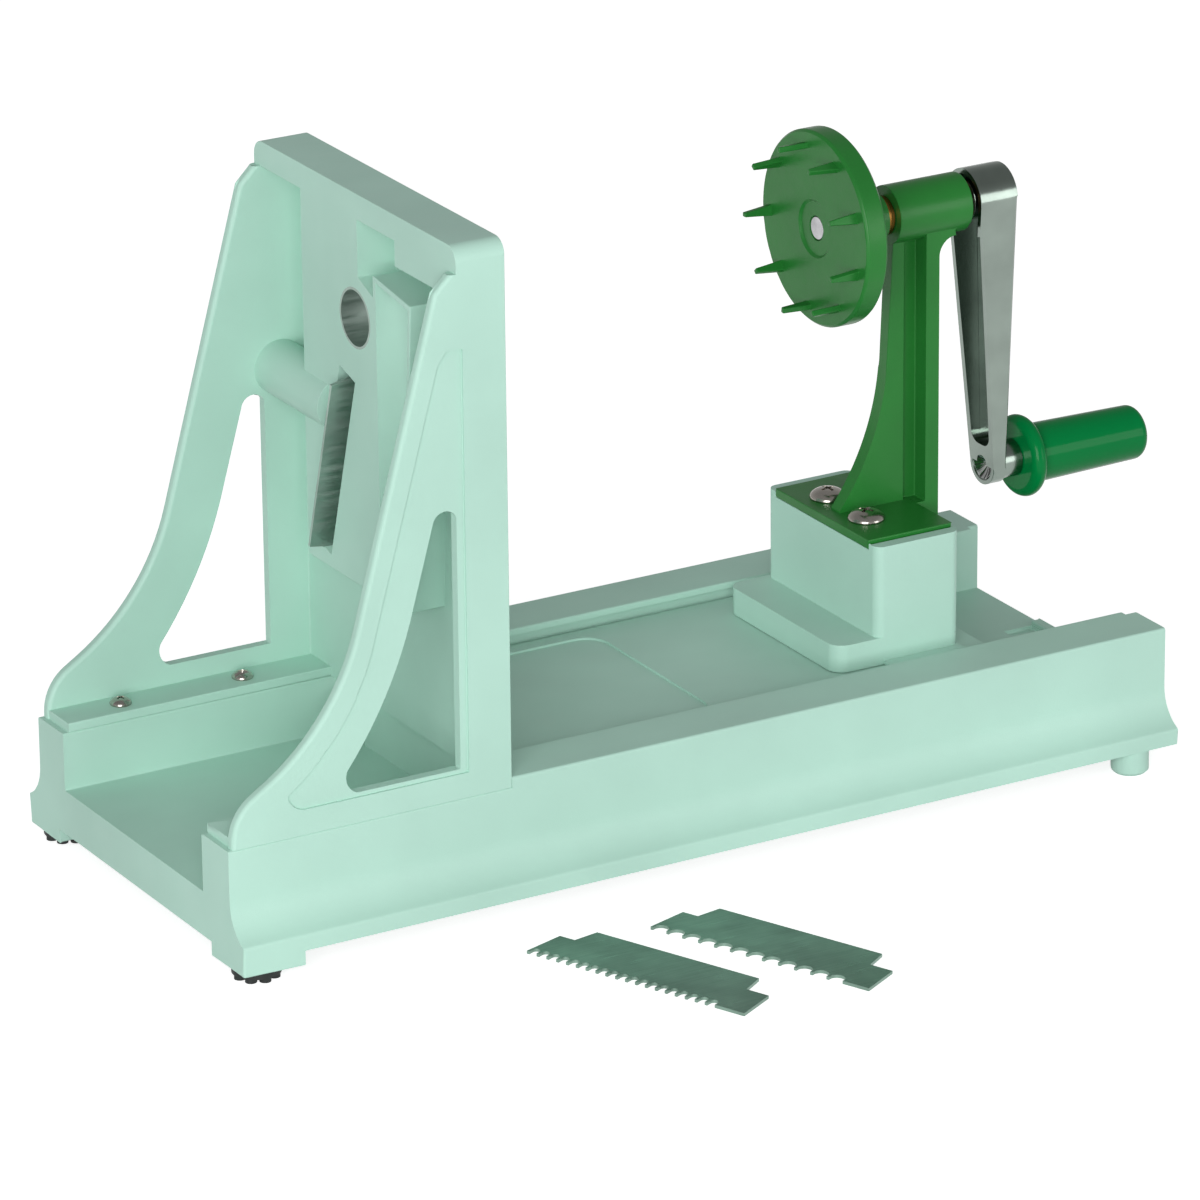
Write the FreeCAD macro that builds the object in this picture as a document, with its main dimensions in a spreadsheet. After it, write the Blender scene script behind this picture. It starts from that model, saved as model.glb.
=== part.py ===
import FreeCAD, Part
import math
import os
import Sketcher

# Hand cranked spiral slicer.  +X runs along the base from the slicing end to the crank,
# +Y to the side of the clamp knob, +Z up.  The origin is on the table, under the middle
# of the whole set: machine and spare blades.  All sizes are in millimetres.

doc = FreeCAD.newDocument("spiral_slicer")
sheet = doc.addObject("Spreadsheet::Sheet", "Sizes")

# ---------------------------------------------------------------- driving sizes
DRIVING = {
    # base tray
    "base_length": 330, "base_width": 125, "skirt_out": 8, "rail_width": 17, "rail_round": 0.8,
    "rail_top": 44.2, "floor_top": 22.5, "skirt_bottom": 8, "skirt_lip": 5, "flare_top": 25,
    "wall": 3, "seat_drop": 3.2,
    "deck_top": 39.3, "deck_end": 282, "deck_slit": 2.6, "deck_rib": 30,
    "foot_block": 20.5, "foot_block_bottom": 3.6, "foot_inset": 8.5, "foot_radius": 7.5,
    "foot_rib": 1.4, "peg_radius": 6, "peg_inset": 14, "stop_width": 18, "stop_height": 1.4,
    "foot_screw_shank": 1.6, "foot_screw_head": 3.2,
    "rail_lip": 2.2, "rail_lip_thick": 2.0, "rail_lip_end": 326,
    "recess_margin": 5.9, "recess_front": 104, "recess_back": 182, "recess_deep": 0.7,
    "recess_round": 8, "well_front": 316, "well_back": 326.5, "well_side": 8, "well_deep": 1.2,
    # blade tower
    "tower_rear": 95.5, "tower_front": 79.2, "tower_foot_front": 1.5, "header_height": 8,
    "cheek": 4, "cheek_top": 205, "rear_wall": 3, "header_drop": 16, "flange_thick": 3,
    "brow_radius": 73.3, "brow_low": 101, "brow_top": 5, "brow_back": 7.2, "brow_lean": 0.2765,
    "toe_reach": 11.5, "toe_top": 58.5, "toe_run": 4, "toe_fall": 2.5, "toe_radius": 16,
    "toe_heel": 1.4, "cheek_round": 1.4, "header_radius": 5,
    "window_bottom": 50.3, "window_front": 40.5, "window_top": 133.5, "window_radius": 130,
    "window_bend": 100, "window_upper": 62.3, "window_shoulder": 3.5, "window_top_round": 4.2,
    "window_toe": 3.2, "window_toe_rise": 7.5, "window_toe_round": 5.5,
    "panel_bend": 97, "panel_front": 19.5, "panel_drop": 23,
    "panel_depth": 0.8, "panel_margin": 8,
    "panel_far": 33, "panel_near": 2.3, "recess_near": 25.5, "panel_bottom": 88,
    "chute_left": 11.6, "chute_right": 34.6, "chute_right_low": 28, "chute_top": 190,
    "chute_fall": 3, "chute_wall": 1.6,
    "tower_screw_front": 23, "tower_screw_back": 65, "tower_screw_inset": 10.5,
    "tower_screw_shank": 1.6, "tower_screw_head": 3.5, "tower_screw_dome": 2.2,
    "tower_screw_length": 16, "boss_wall": 2.6,
    # core and blades
    "axis_height": 173.5, "ring_bore": 8.7, "ring_wall": 0.8, "ring_proud": 3,
    "comb_angle": 16.2, "comb_length": 79, "comb_tab": 14.5, "comb_height": 23,
    "comb_body": 59, "comb_lead": 9, "comb_start": 14, "comb_thick": 1.0,
    "comb_proud": 1.5, "comb_gap_depth": 3.0, "comb_tooth": 0.9,
    "fine_pitch": 3.6, "medium_pitch": 4.6, "coarse_pitch": 5.8,
    "slot_width": 10, "slot_depth": 9,
    "blade_thick": 1.5, "blade_edge": 14.5, "blade_top": 182, "blade_bottom": 92,
    "blade_bevel": 1.2, "blade_screw_shank": 1.5, "blade_screw_head": 2.8,
    "blade_screw_side": 4, "blade_screw_drop": 36, "blade_screw_rise": 14,
    # clamp screw
    "clamp_height": 140, "clamp_x": 84, "clamp_boss": 8.7, "clamp_end": 18,
    "clamp_shank": 3, "clamp_knob": 12, "clamp_knob_length": 12, "clamp_grip": 2.4,
    "insert_wall": 1.5, "insert_length": 8,
    # carriage
    "carriage_front": 227.6, "carriage_width": 65.2, "plate_top": 48.5,
    "block_front": 242.4, "block_back": 272.9, "block_top": 78.4,
    "pocket_rim": 4.8, "pocket_depth": 1.9, "block_round": 3, "plate_round": 5,
    "wing_front": 245, "wing_thick": 1.2, "hook_foot": 3.0, "hook_thick": 2.0, "hook_reach": 6,
    "carriage_travel": 131,
    # crank bracket
    "bracket_plate": 3.0, "bracket_web": 5, "bracket_flange": 14,
    "flange_front": 276.2, "flange_back": 281, "groove_front": 271, "groove_web": 1.6,
    "saddle_radius": 6, "gusset_reach": 28.7, "gusset_neck": 11.4,
    "gusset_height": 126, "gusset_radius": 82, "heel_bottom": 58,
    "tube_front": 265.5, "tube_back": 291.8, "tube_radius": 9.3,
    "bracket_screw_x": 251.8, "bracket_screw_side": 11.3, "bracket_screw_head": 6,
    "bracket_screw_dome": 3.4, "bracket_screw_shank": 2.4, "bracket_screw_length": 18,
    # turning parts
    "shaft_radius": 4, "bush_wall": 1.8, "bush_length": 8, "collar_radius": 6.2,
    "holder_front": 239.7, "holder_thick": 7.6, "holder_radius": 31, "holder_web": 3,
    "holder_rim": 3.2, "holder_hub": 8.5, "prong_length": 9.5, "prong_circle": 26,
    "prong_width": 3.6, "prong_tip": 1.4, "prong_thick": 1.8, "prong_count": 9,
    "prong_phase": 27.5,
    "arm_gap": 2.5, "arm_front": 295.2, "arm_low_front": 301.8, "arm_back": 307.9,
    "arm_low_back": 306.6, "arm_length": 88.6,
    "arm_neck": 10.0, "arm_foot": 6.8, "arm_wall": 1.7, "arm_web": 2.2,
    "arm_shaft_boss": 6.6, "arm_sink": 5.5, "arm_sink_deep": 2.6,
    "arm_boss": 6.0, "arm_boss_end": 313.3,
    "axle_radius": 2.8, "axle_head": 5.1, "axle_end": 352,
    "knob_front": 313.6, "knob_back": 360, "knob_radius": 9.5, "knob_tail": 8.8,
    "knob_flange": 13.2, "knob_flange_thick": 5.4, "knob_end_round": 3.0,
    # clearances
    "slide_gap": 0.3, "running_gap": 0.05, "face_gap": 0.3, "seat_gap": 0.02,
    # spare blades on the table
    "spare_fine_x": 97.3, "spare_coarse_x": 137.7, "spare_fine_back": 3.7,
    "spare_reach": 166.5, "spare_turn": -66.5,
}


class Size:
    """A length or angle with the sheet expression that gives it."""

    def __init__(self, value, text):
        self.value = float(value)
        self.text = text

    def _with(self, other, value, sign, swap=False):
        first, second = (other.text, self.text) if swap else (self.text, other.text)
        return Size(value, "(" + first + " " + sign + " " + second + ")")

    def __add__(self, other):
        other = size(other)
        return self._with(other, self.value + other.value, "+")

    __radd__ = __add__

    def __sub__(self, other):
        other = size(other)
        return self._with(other, self.value - other.value, "-")

    def __rsub__(self, other):
        return size(other) - self

    def __mul__(self, other):
        other = size(other)
        return self._with(other, self.value * other.value, "*")

    __rmul__ = __mul__

    def __truediv__(self, other):
        other = size(other)
        return self._with(other, self.value / other.value, "/")

    def __neg__(self):
        return Size(-self.value, "(0 - " + self.text + ")")


def size(number):
    """A plain number as a Size; a Size stays itself."""
    if isinstance(number, Size):
        return number
    return Size(number, "(" + repr(float(number)) + ")")


def tangent(angle):
    """The tangent of an angle kept in degrees."""
    return Size(math.tan(math.radians(angle.value)), "tan(" + angle.text + " * 1 deg)")


def cosine(angle):
    """The cosine of an angle kept in degrees."""
    return Size(math.cos(math.radians(angle.value)), "cos(" + angle.text + " * 1 deg)")


class Sizes:
    """The driving sizes by name."""


s = Sizes()
for row, (name, value) in enumerate(DRIVING.items(), start=1):
    cell = "B" + str(row)
    sheet.set("A" + str(row), name)
    sheet.set(cell, str(value))
    sheet.setAlias(cell, name)
    setattr(s, name, Size(value, "Sizes." + name))
doc.recompute()

ZERO = size(0)
# The set reaches from FRONT to the end of the knob.
FRONT = -(s.knob_back / 2)
CLAMP_REACH = s.base_width / 2 + s.face_gap + s.clamp_knob_length
# MIDDLE is the distance from the set's middle to the base's own centre plane.
MIDDLE = (s.spare_reach - CLAMP_REACH) / 2


def at(distance):
    """Model X of a distance measured from the front end of the base."""
    return FRONT + distance


# ---------------------------------------------------------------- modelling helpers
NODES = []
AXIS_TURN = {
    "X": FreeCAD.Rotation(FreeCAD.Vector(0, 1, 0), 90),
    "Y": FreeCAD.Rotation(FreeCAD.Vector(1, 0, 0), -90),
    "Z": FreeCAD.Rotation(),
}
PLANE = {"X": "YZ_Plane", "Y": "XZ_Plane", "Z": "XY_Plane"}


def bind(obj, prop, value):
    """Tie a property to its expression."""
    obj.setExpression(prop, size(value).text)


def place(obj, x, y, z):
    """Tie an object's position to its expressions.  Y counts from the base's centre plane."""
    bind(obj, "Placement.Base.x", x)
    bind(obj, "Placement.Base.y", size(y) + MIDDLE)
    bind(obj, "Placement.Base.z", z)


def box(name, x, y, z):
    """A box between the low and high ends given for each direction."""
    part = doc.addObject("Part::Box", name)
    for prop, (low, high) in zip(("Length", "Width", "Height"), (x, y, z)):
        bind(part, prop, size(high) - low)
    place(part, x[0], y[0], z[0])
    return part


def rod(name, axis, centre, radius, low, high, top_radius=None):
    """A cylinder, or a cone, along an axis.  The centre is the other two coordinates."""
    if top_radius is None:
        part = doc.addObject("Part::Cylinder", name)
        bind(part, "Radius", radius)
    else:
        part = doc.addObject("Part::Cone", name)
        bind(part, "Radius1", radius)
        bind(part, "Radius2", top_radius)
    bind(part, "Height", size(high) - low)
    part.Placement = FreeCAD.Placement(FreeCAD.Vector(), AXIS_TURN[axis])
    where = {"X": (low, *centre), "Y": (centre[0], low, centre[1]), "Z": (*centre, low)}
    place(part, *where[axis])
    return part


def fuse(name, *parts):
    """One shape from several."""
    joined = doc.addObject("Part::MultiFuse", name)
    joined.Shapes = list(parts)
    joined.Refine = True
    return joined


def cut(name, base, *tools):
    """A shape less one or more tools."""
    tool = tools[0] if len(tools) == 1 else fuse(name + "_tools", *tools)
    left = doc.addObject("Part::Cut", name)
    left.Base = base
    left.Tool = tool
    left.Refine = True
    return left


def group(name, *parts):
    """Separate solids kept together."""
    several = doc.addObject("Part::Compound", name)
    several.Links = list(parts)
    return several


def node(label, part):
    """Register a finished sub-part under the name of its file."""
    part.Label = label
    NODES.append(part)
    return part


def body_on(name, x=ZERO, y=ZERO, z=ZERO, turn=None):
    """A body, placed and turned."""
    body = doc.addObject("PartDesign::Body", name)
    if turn is not None:
        body.Placement = FreeCAD.Placement(FreeCAD.Vector(), turn)
    place(body, x, y, z)
    return body


def origin_feature(body, role):
    """A plane or axis of the body's own origin."""
    return next(f for f in body.Origin.OriginFeatures if f.Role == role)


def edge_between(start, end, radius):
    """A straight sketch edge, or an arc whose centre is left of the way for radius > 0."""
    first = FreeCAD.Vector(start[0].value, start[1].value, 0)
    last = FreeCAD.Vector(end[0].value, end[1].value, 0)
    if radius is None:
        return Part.LineSegment(first, last), False
    bend, left = size(radius[0]).value, radius[1] == "left"
    chord = last - first
    half = chord.Length / 2
    rise = math.sqrt(max(bend * bend - half * half, 0.0))
    side = FreeCAD.Vector(-chord.y, chord.x, 0).normalize()
    centre = (first + last) * 0.5 + side * (rise if left else -rise)
    ends = (first, last) if left else (last, first)
    angles = [math.atan2(p.y - centre.y, p.x - centre.x) for p in ends]
    if angles[1] < angles[0]:
        angles[1] += 2 * math.pi
    circle = Part.Circle(centre, FreeCAD.Vector(0, 0, 1), bend)
    return Part.ArcOfCircle(circle, *angles), not left


class Disc:
    """A round outline."""

    def __init__(self, radius, across=ZERO, up=ZERO):
        self.radius = size(radius)
        self.centre = (size(across), size(up))

    def draw(self, sketch):
        """Add the circle to a sketch and tie its centre and radius."""
        across, up = self.centre
        middle = FreeCAD.Vector(across.value, up.value, 0)
        index = sketch.addGeometry(
            Part.Circle(middle, FreeCAD.Vector(0, 0, 1), self.radius.value), False)
        ties = [("DistanceX", (-1, 1, index, 3), across), ("DistanceY", (-1, 1, index, 3), up),
                ("Radius", (index,), self.radius)]
        for kind, where, value in ties:
            tie = sketch.addConstraint(Sketcher.Constraint(kind, *where, value.value))
            sketch.setExpression("Constraints[" + str(tie) + "]", value.text)


def sketch_on(body, name, axis, offset, *outlines):
    """A fully set sketch across an axis.

    An outline is a Disc, or a list of points (u, v) or (u, v, (radius, side)).
    """
    sketch = body.newObject("Sketcher::SketchObject", name)
    sketch.AttachmentSupport = [(origin_feature(body, PLANE[axis]), "")]
    sketch.MapMode = "FlatFace"
    bind(sketch, "AttachmentOffset.Base.z", -size(offset) if axis == "Y" else offset)
    for points in outlines:
        if isinstance(points, Disc):
            points.draw(sketch)
            continue
        corners = [(size(p[0]), size(p[1])) for p in points]
        bends = [p[2] if len(p) > 2 else None for p in points]
        first = sketch.GeometryCount
        flips = []
        for i, bend in enumerate(bends):
            edge, flipped = edge_between(corners[i], corners[(i + 1) % len(corners)], bend)
            sketch.addGeometry(edge, False)
            flips.append(flipped)
        count = len(corners)
        for i in range(count):
            after = (i + 1) % count
            here_end = 1 if flips[i] else 2
            next_start = 2 if flips[after] else 1
            sketch.addConstraint(
                Sketcher.Constraint("Coincident", first + i, here_end, first + after, next_start))
        for i, (across, up) in enumerate(corners):
            start = 2 if flips[i] else 1
            for kind, value in (("DistanceX", across), ("DistanceY", up)):
                index = sketch.addConstraint(
                    Sketcher.Constraint(kind, -1, 1, first + i, start, value.value))
                sketch.setExpression("Constraints[" + str(index) + "]", value.text)
            if bends[i] is not None:
                bend = size(bends[i][0])
                index = sketch.addConstraint(
                    Sketcher.Constraint("Radius", first + i, bend.value))
                sketch.setExpression("Constraints[" + str(index) + "]", bend.text)
    return sketch


def pad(body, name, axis, low, high, *outlines):
    """Add a prism across an axis, from low to high."""
    start = high if axis == "Y" else low
    profile = sketch_on(body, name + "_outline", axis, start, *outlines)
    feature = body.newObject("PartDesign::Pad", name)
    feature.Profile = profile
    bind(feature, "Length", size(high) - low)
    return feature


def pocket(body, name, axis, low, high, *outlines):
    """Cut a prism across an axis, from low to high."""
    start = high if axis == "Y" else low
    profile = sketch_on(body, name + "_outline", axis, start, *outlines)
    feature = body.newObject("PartDesign::Pocket", name)
    feature.Profile = profile
    feature.Reversed = True
    bind(feature, "Length", size(high) - low)
    return feature


def revolve(body, name, *outlines):
    """Turn an outline of (x, radius) points about the body's own X axis."""
    profile = sketch_on(body, name + "_outline", "Y", ZERO, *outlines)
    feature = body.newObject("PartDesign::Revolution", name)
    feature.Profile = profile
    feature.ReferenceAxis = (profile, ["H_Axis"])
    feature.Angle = 360
    return feature


def around(body, name, feature, count, role="X_Axis"):
    """Repeat a feature evenly about an axis of the body."""
    pattern = body.newObject("PartDesign::PolarPattern", name)
    pattern.Originals = [feature]
    pattern.Axis = (origin_feature(body, role), [""])
    pattern.Angle = 360
    bind(pattern, "Occurrences", count)
    body.Tip = pattern
    return pattern


def edges_near(shape, points, reach=0.6):
    """Names of the straight edges whose middle passes within reach of a line through a point.

    A point is a dict of two fixed coordinates, such as {"y": 5, "z": 10}.
    """
    names = []
    for index, edge in enumerate(shape.Edges, start=1):
        if not isinstance(edge.Curve, Part.Line):
            continue
        ends = [v.Point for v in edge.Vertexes]
        for point in points:
            if all(abs(getattr(end, key) - size(value).value) < reach
                   for end in ends for key, value in point.items()):
                names.append("Edge" + str(index))
                break
    return names


def round_body(body, name, radius, points):
    """Round the straight edges of the body that lie on the given lines."""
    doc.recompute()
    base = body.Tip
    feature = body.newObject("PartDesign::Fillet", name)
    feature.Base = (base, edges_near(base.Shape, points))
    bind(feature, "Radius", radius)
    return feature


def round_front(body, name, radius):
    """Round the front edges of the two cheeks, from the brow to the toe."""
    doc.recompute()
    base = body.Tip
    behind = (at(s.tower_front) - s.brow_back + s.brow_top).value + 0.01
    names = []
    for index, edge in enumerate(base.Shape.Edges, start=1):
        ends = [v.Point for v in edge.Vertexes]
        along = all(end.x < behind for end in ends) and abs(ends[0].y - ends[-1].y) < 0.01
        if along and not all(abs(end.z - SEAT.value) < 0.01 for end in ends):
            names.append("Edge" + str(index))
    feature = body.newObject("PartDesign::Fillet", name)
    feature.Base = (base, names)
    bind(feature, "Radius", radius)
    return feature


def rectangle(u, v):
    """The four corners between two pairs of low and high ends."""
    return [(u[0], v[0]), (u[1], v[0]), (u[1], v[1]), (u[0], v[1])]


def rounded(u, v, radius):
    """A rectangle with round corners."""
    low_u, high_u = size(u[0]), size(u[1])
    low_v, high_v = size(v[0]), size(v[1])
    bend = (size(radius), "left")
    return [
        (low_u + radius, low_v), (high_u - radius, low_v, bend),
        (high_u, low_v + radius), (high_u, high_v - radius, bend),
        (high_u - radius, high_v), (low_u + radius, high_v, bend),
        (low_u, high_v - radius), (low_u, low_v + radius, bend)]


def mirrored(points):
    """An open outline on the +Y side, closed by its mirror image."""
    other = []
    for index in range(len(points) - 1, -1, -1):
        point = points[index]
        before = points[index - 1] if index > 0 else None
        bend = None
        if before is not None and len(before) > 2:
            bend = before[2]
        corner = (-size(point[0]), point[1])
        other.append(corner if bend is None else (*corner, bend))
    return points + other


# ---------------------------------------------------------------- shared places
HALF = s.base_width / 2
SKIRT = HALF + s.skirt_out
INNER = HALF - s.rail_width
SEAT = s.rail_top - s.seat_drop
LIP_TOP = s.skirt_bottom + s.skirt_lip
FLARE_OUT = s.skirt_out
FLARE_UP = s.flare_top - LIP_TOP
FLARE = (FLARE_OUT * FLARE_OUT + FLARE_UP * FLARE_UP) / (2 * FLARE_OUT)
DECK_UNDER = s.deck_top - s.wall
DECK_EDGE = INNER - s.deck_slit
TOWER_TOP = s.cheek_top + s.header_height
SCREW_SIDE = HALF - s.tower_screw_inset
AXIS = s.axis_height
RING_OUT = s.ring_bore + s.ring_wall
TOWER_IN = HALF - s.cheek
# The rear wall of the tower stands from WALL_FRONT to tower_rear.
WALL_FRONT = s.tower_rear - s.rear_wall


# ---------------------------------------------------------------- base tray
def outer_outline(top):
    """The outline of the tray's end, from the skirt to the rails and the floor."""
    soft = s.rail_round
    return mirrored([
        (SKIRT, s.skirt_bottom), (SKIRT, LIP_TOP, (FLARE, "right")),
        (HALF, s.flare_top), (HALF, top - soft, (soft, "left")), (HALF - soft, top),
        (INNER + soft, top, (soft, "left")), (INNER, top - soft), (INNER, s.floor_top)])


def shell_outline(top):
    """The wall of the tray in section: skirt, rails and floor."""
    thick = s.wall
    soft = s.rail_round
    return mirrored([
        (INNER + thick, s.floor_top - thick), (INNER + thick, top - thick),
        (HALF - thick, top - thick), (HALF - thick, s.flare_top, (FLARE, "left")),
        (SKIRT - thick, LIP_TOP), (SKIRT - thick, s.skirt_bottom),
        (SKIRT, s.skirt_bottom), (SKIRT, LIP_TOP, (FLARE, "right")),
        (HALF, s.flare_top), (HALF, top - soft, (soft, "left")), (HALF - soft, top),
        (INNER + soft, top, (soft, "left")), (INNER, top - soft), (INNER, s.floor_top)])


def base_tray():
    """The tray: hollow rails, flared skirt, front trough and raised deck."""
    tray = body_on("tray_shell")
    step = at(s.tower_rear)
    rear = at(s.base_length)
    pad(tray, "front_shell", "X", FRONT, step + s.wall, shell_outline(SEAT))
    pad(tray, "rear_shell", "X", step, rear, shell_outline(s.rail_top))
    pad(tray, "front_wall", "X", FRONT, FRONT + s.wall, outer_outline(SEAT))
    pad(tray, "step_wall", "X", step, step + s.wall, outer_outline(s.rail_top))
    pad(tray, "rear_wall", "X", rear - s.wall, rear, outer_outline(s.rail_top))
    deck = (step, at(s.deck_end))
    rib_in = s.deck_rib - s.wall
    pad(tray, "deck", "Z", DECK_UNDER, s.deck_top, rectangle(deck, (-DECK_EDGE, DECK_EDGE)))
    pad(tray, "deck_box", "Z", s.floor_top - s.wall, s.deck_top,
        rectangle(deck, (-s.deck_rib, s.deck_rib)))
    pocket(tray, "deck_hollow", "Z", s.floor_top - 2 * s.wall, DECK_UNDER,
           rectangle((deck[0] + s.wall, deck[1] - s.wall), (-rib_in, rib_in)))
    recess = DECK_EDGE - s.recess_margin
    pocket(tray, "deck_recess", "Z", s.deck_top - s.recess_deep, s.deck_top + 1,
           rounded((at(s.recess_front), at(s.recess_back)), (-recess, recess),
                   s.recess_round))
    pocket(tray, "rear_well", "Z", s.floor_top - s.well_deep, s.floor_top + 1,
           rectangle((at(s.well_front), at(s.well_back)), (-s.well_side, s.well_side)))
    lip = (INNER - s.rail_lip, INNER + s.rail_round)
    for side, span in (("far", lip), ("near", (-lip[1], -lip[0]))):
        pad(tray, "rail_lip_" + side, "Z", s.rail_top - s.rail_lip_thick, s.rail_top,
            rectangle((step + s.wall, at(s.rail_lip_end)), span))
    return tray


def tray_details(tray):
    """Foot blocks, rear pegs, screw bosses and the rear stop."""
    parts = [tray]
    bores = []
    for side, sign in (("near", -1), ("far", 1)):
        ends = (SKIRT - s.foot_block, SKIRT)
        y_range = ends if sign > 0 else (-ends[1], -ends[0])
        parts.append(box("foot_block_" + side, (FRONT, FRONT + s.foot_block), y_range,
                         (s.foot_block_bottom, LIP_TOP - 0.5)))
        foot = (FRONT + s.foot_inset, sign * (SKIRT - s.foot_inset))
        bores.append(rod("foot_pilot_" + side, "Z", foot, s.foot_screw_shank,
                         s.foot_block_bottom, LIP_TOP - 2))
        peg = (at(s.base_length) - s.peg_inset, sign * (SKIRT - s.peg_radius))
        parts.append(rod("peg_" + side, "Z", peg, s.peg_radius, 1, LIP_TOP - 0.5))
        parts.append(rod("peg_end_" + side, "Z", peg, s.peg_radius - 1, 0, 1,
                         top_radius=s.peg_radius))
        for place_name, distance in (("front", s.tower_screw_front), ("back", s.tower_screw_back)):
            spot = (at(distance), sign * SCREW_SIDE)
            name = "tower_boss_" + side + "_" + place_name
            parts.append(rod(name, "Z", spot, s.tower_screw_shank + s.boss_wall,
                             SEAT - s.tower_screw_length, SEAT - s.wall / 2))
            bores.append(rod(name + "_bore", "Z", spot, s.tower_screw_shank,
                             SEAT - s.tower_screw_length, SEAT))
    rear = at(s.base_length)
    parts.append(box("rear_stop", (rear - s.wall, rear), (-s.stop_width / 2, s.stop_width / 2),
                     (s.floor_top - s.wall, s.floor_top + s.stop_height)))
    return cut("tray_bored", fuse("tray_joined", *parts), *bores)


# ---------------------------------------------------------------- feet and screws
def rubber_foot(side, sign):
    """A round rubber foot with a ring of nubs under it."""
    foot = body_on("foot_" + side + "_body", FRONT + s.foot_inset,
                   sign * (SKIRT - s.foot_inset))
    rim = s.foot_radius
    pad(foot, "foot_disc_" + side, "Z", s.foot_rib, s.foot_block_bottom,
        Disc(rim), Disc(s.foot_screw_head + s.face_gap))
    nub = s.foot_radius * 0.24
    nub_at = s.foot_radius - nub - 0.2
    nub_pad = pad(foot, "foot_nub_" + side, "Z", 0, s.foot_rib + 0.4,
                  Disc(nub, nub_at))
    around(foot, "foot_nubs_" + side, nub_pad, 8, "Z_Axis")
    return foot


def foot_screw(side, sign):
    """The screw that holds a foot to its block."""
    spot = (FRONT + s.foot_inset, sign * (SKIRT - s.foot_inset))
    seat = s.foot_block_bottom
    head = rod("foot_screw_head_" + side, "Z", spot, s.foot_screw_head, s.foot_rib, seat)
    shank = rod("foot_screw_shank_" + side, "Z", spot, s.foot_screw_shank - s.seat_gap, seat,
                LIP_TOP - 2.5)
    return fuse("foot_screw_" + side, head, shank)


def pan_screw(name, spot, seat, head, dome, shank, length):
    """A pan head screw, head up, with a cross recess."""
    top = size(seat) + dome
    rim = rod(name + "_rim", "Z", spot, head, seat, size(seat) + dome * 0.4)
    crown = rod(name + "_crown", "Z", spot, head, size(seat) + dome * 0.4, top,
                top_radius=head * 0.55)
    stem = rod(name + "_stem", "Z", spot, shank, size(seat) - length, seat)
    arm, half = head * 0.5, head * 0.12
    across = box(name + "_cross_a", (spot[0] - arm, spot[0] + arm),
                 (spot[1] - half, spot[1] + half), (top - dome * 0.5, top + 1))
    along = box(name + "_cross_b", (spot[0] - half, spot[0] + half),
                (spot[1] - arm, spot[1] + arm), (top - dome * 0.5, top + 1))
    return cut(name, fuse(name + "_solid", rim, crown, stem), across, along)


# ---------------------------------------------------------------- blade tower
def cheek_outline():
    """A cheek seen from the side: leaning brow, hollow sweep and toe."""
    top = s.cheek_top
    brow = at(s.tower_front) - s.brow_back
    brow_top = top - s.brow_top
    bend = brow - s.brow_lean * (brow_top - s.brow_low)
    toe = at(s.tower_foot_front)
    reach = toe + s.toe_reach
    return [
        (at(s.tower_rear), SEAT), (at(s.tower_rear), top), (brow + s.brow_top, top),
        (brow, brow_top), (bend, s.brow_low, (s.brow_radius, "right")),
        (reach, s.toe_top), (reach - s.toe_run, s.toe_top - s.toe_fall, (s.toe_radius, "left")),
        (toe, SEAT + s.toe_heel), (toe, SEAT)]


def window_outline():
    """The window of a cheek, along the front of the rear panel."""
    low = s.window_bottom
    front = at(s.window_front)
    back = at(s.tower_front - 0.7)
    upper = at(s.window_upper)
    shoulder = s.window_top - s.window_shoulder
    upper_top = upper + s.brow_lean * (shoulder - s.window_bend) + 0.2
    return [
        (front + s.window_toe, low), (back, low), (back, shoulder, (s.window_top_round, "left")),
        (upper_top, shoulder), (upper, s.window_bend, (s.window_radius, "right")),
        (front, low + s.window_toe_rise, (s.window_toe_round, "left"))]


def panel_outline():
    """The shallow sunk panel round the window of a cheek."""
    margin = s.panel_margin
    low = SEAT + margin
    back = at(s.tower_front + 1.8)
    top = s.cheek_top - s.panel_drop
    front_top = at(s.tower_front) - s.brow_back + 0.5
    knee = front_top - s.brow_lean * (top - 3 - s.panel_bend)
    return [
        (at(s.panel_front) + 3.5, low), (back, low), (back, top), (front_top + 3, top),
        (front_top, top - 4), (knee, s.panel_bend, (s.brow_radius, "right")),
        (at(s.panel_front), low + 5)]


def radial(distance, aside=ZERO):
    """(Y, Z) of a place on the comb's radial line, and aside from it towards +Y."""
    turn = s.comb_angle
    sine = tangent(turn) * cosine(turn)
    return (distance * sine + aside * cosine(turn),
            AXIS - distance * cosine(turn) + aside * sine)


def radial_slot(start, end, half):
    """A slot along the comb's radial line."""
    start, end, half = size(start), size(end), size(half)
    return [radial(start, -half), radial(end, -half), radial(end, half), radial(start, half)]


def chute_outline(inset):
    """The chute beside the core hole, inset from its outside."""
    left = -(s.chute_left + inset)
    right = -(s.chute_right - inset)
    right_low = -(s.chute_right_low - inset)
    top_left = s.chute_top - inset
    return [(left, top_left), (left, s.panel_bottom + inset),
            (right_low, s.panel_bottom + inset), (right, top_left - s.chute_fall)]


def comb_span():
    """Where the comb's body starts and ends along the radial line."""
    body_start = s.comb_start + s.comb_lead
    return body_start, body_start + s.comb_body


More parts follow.
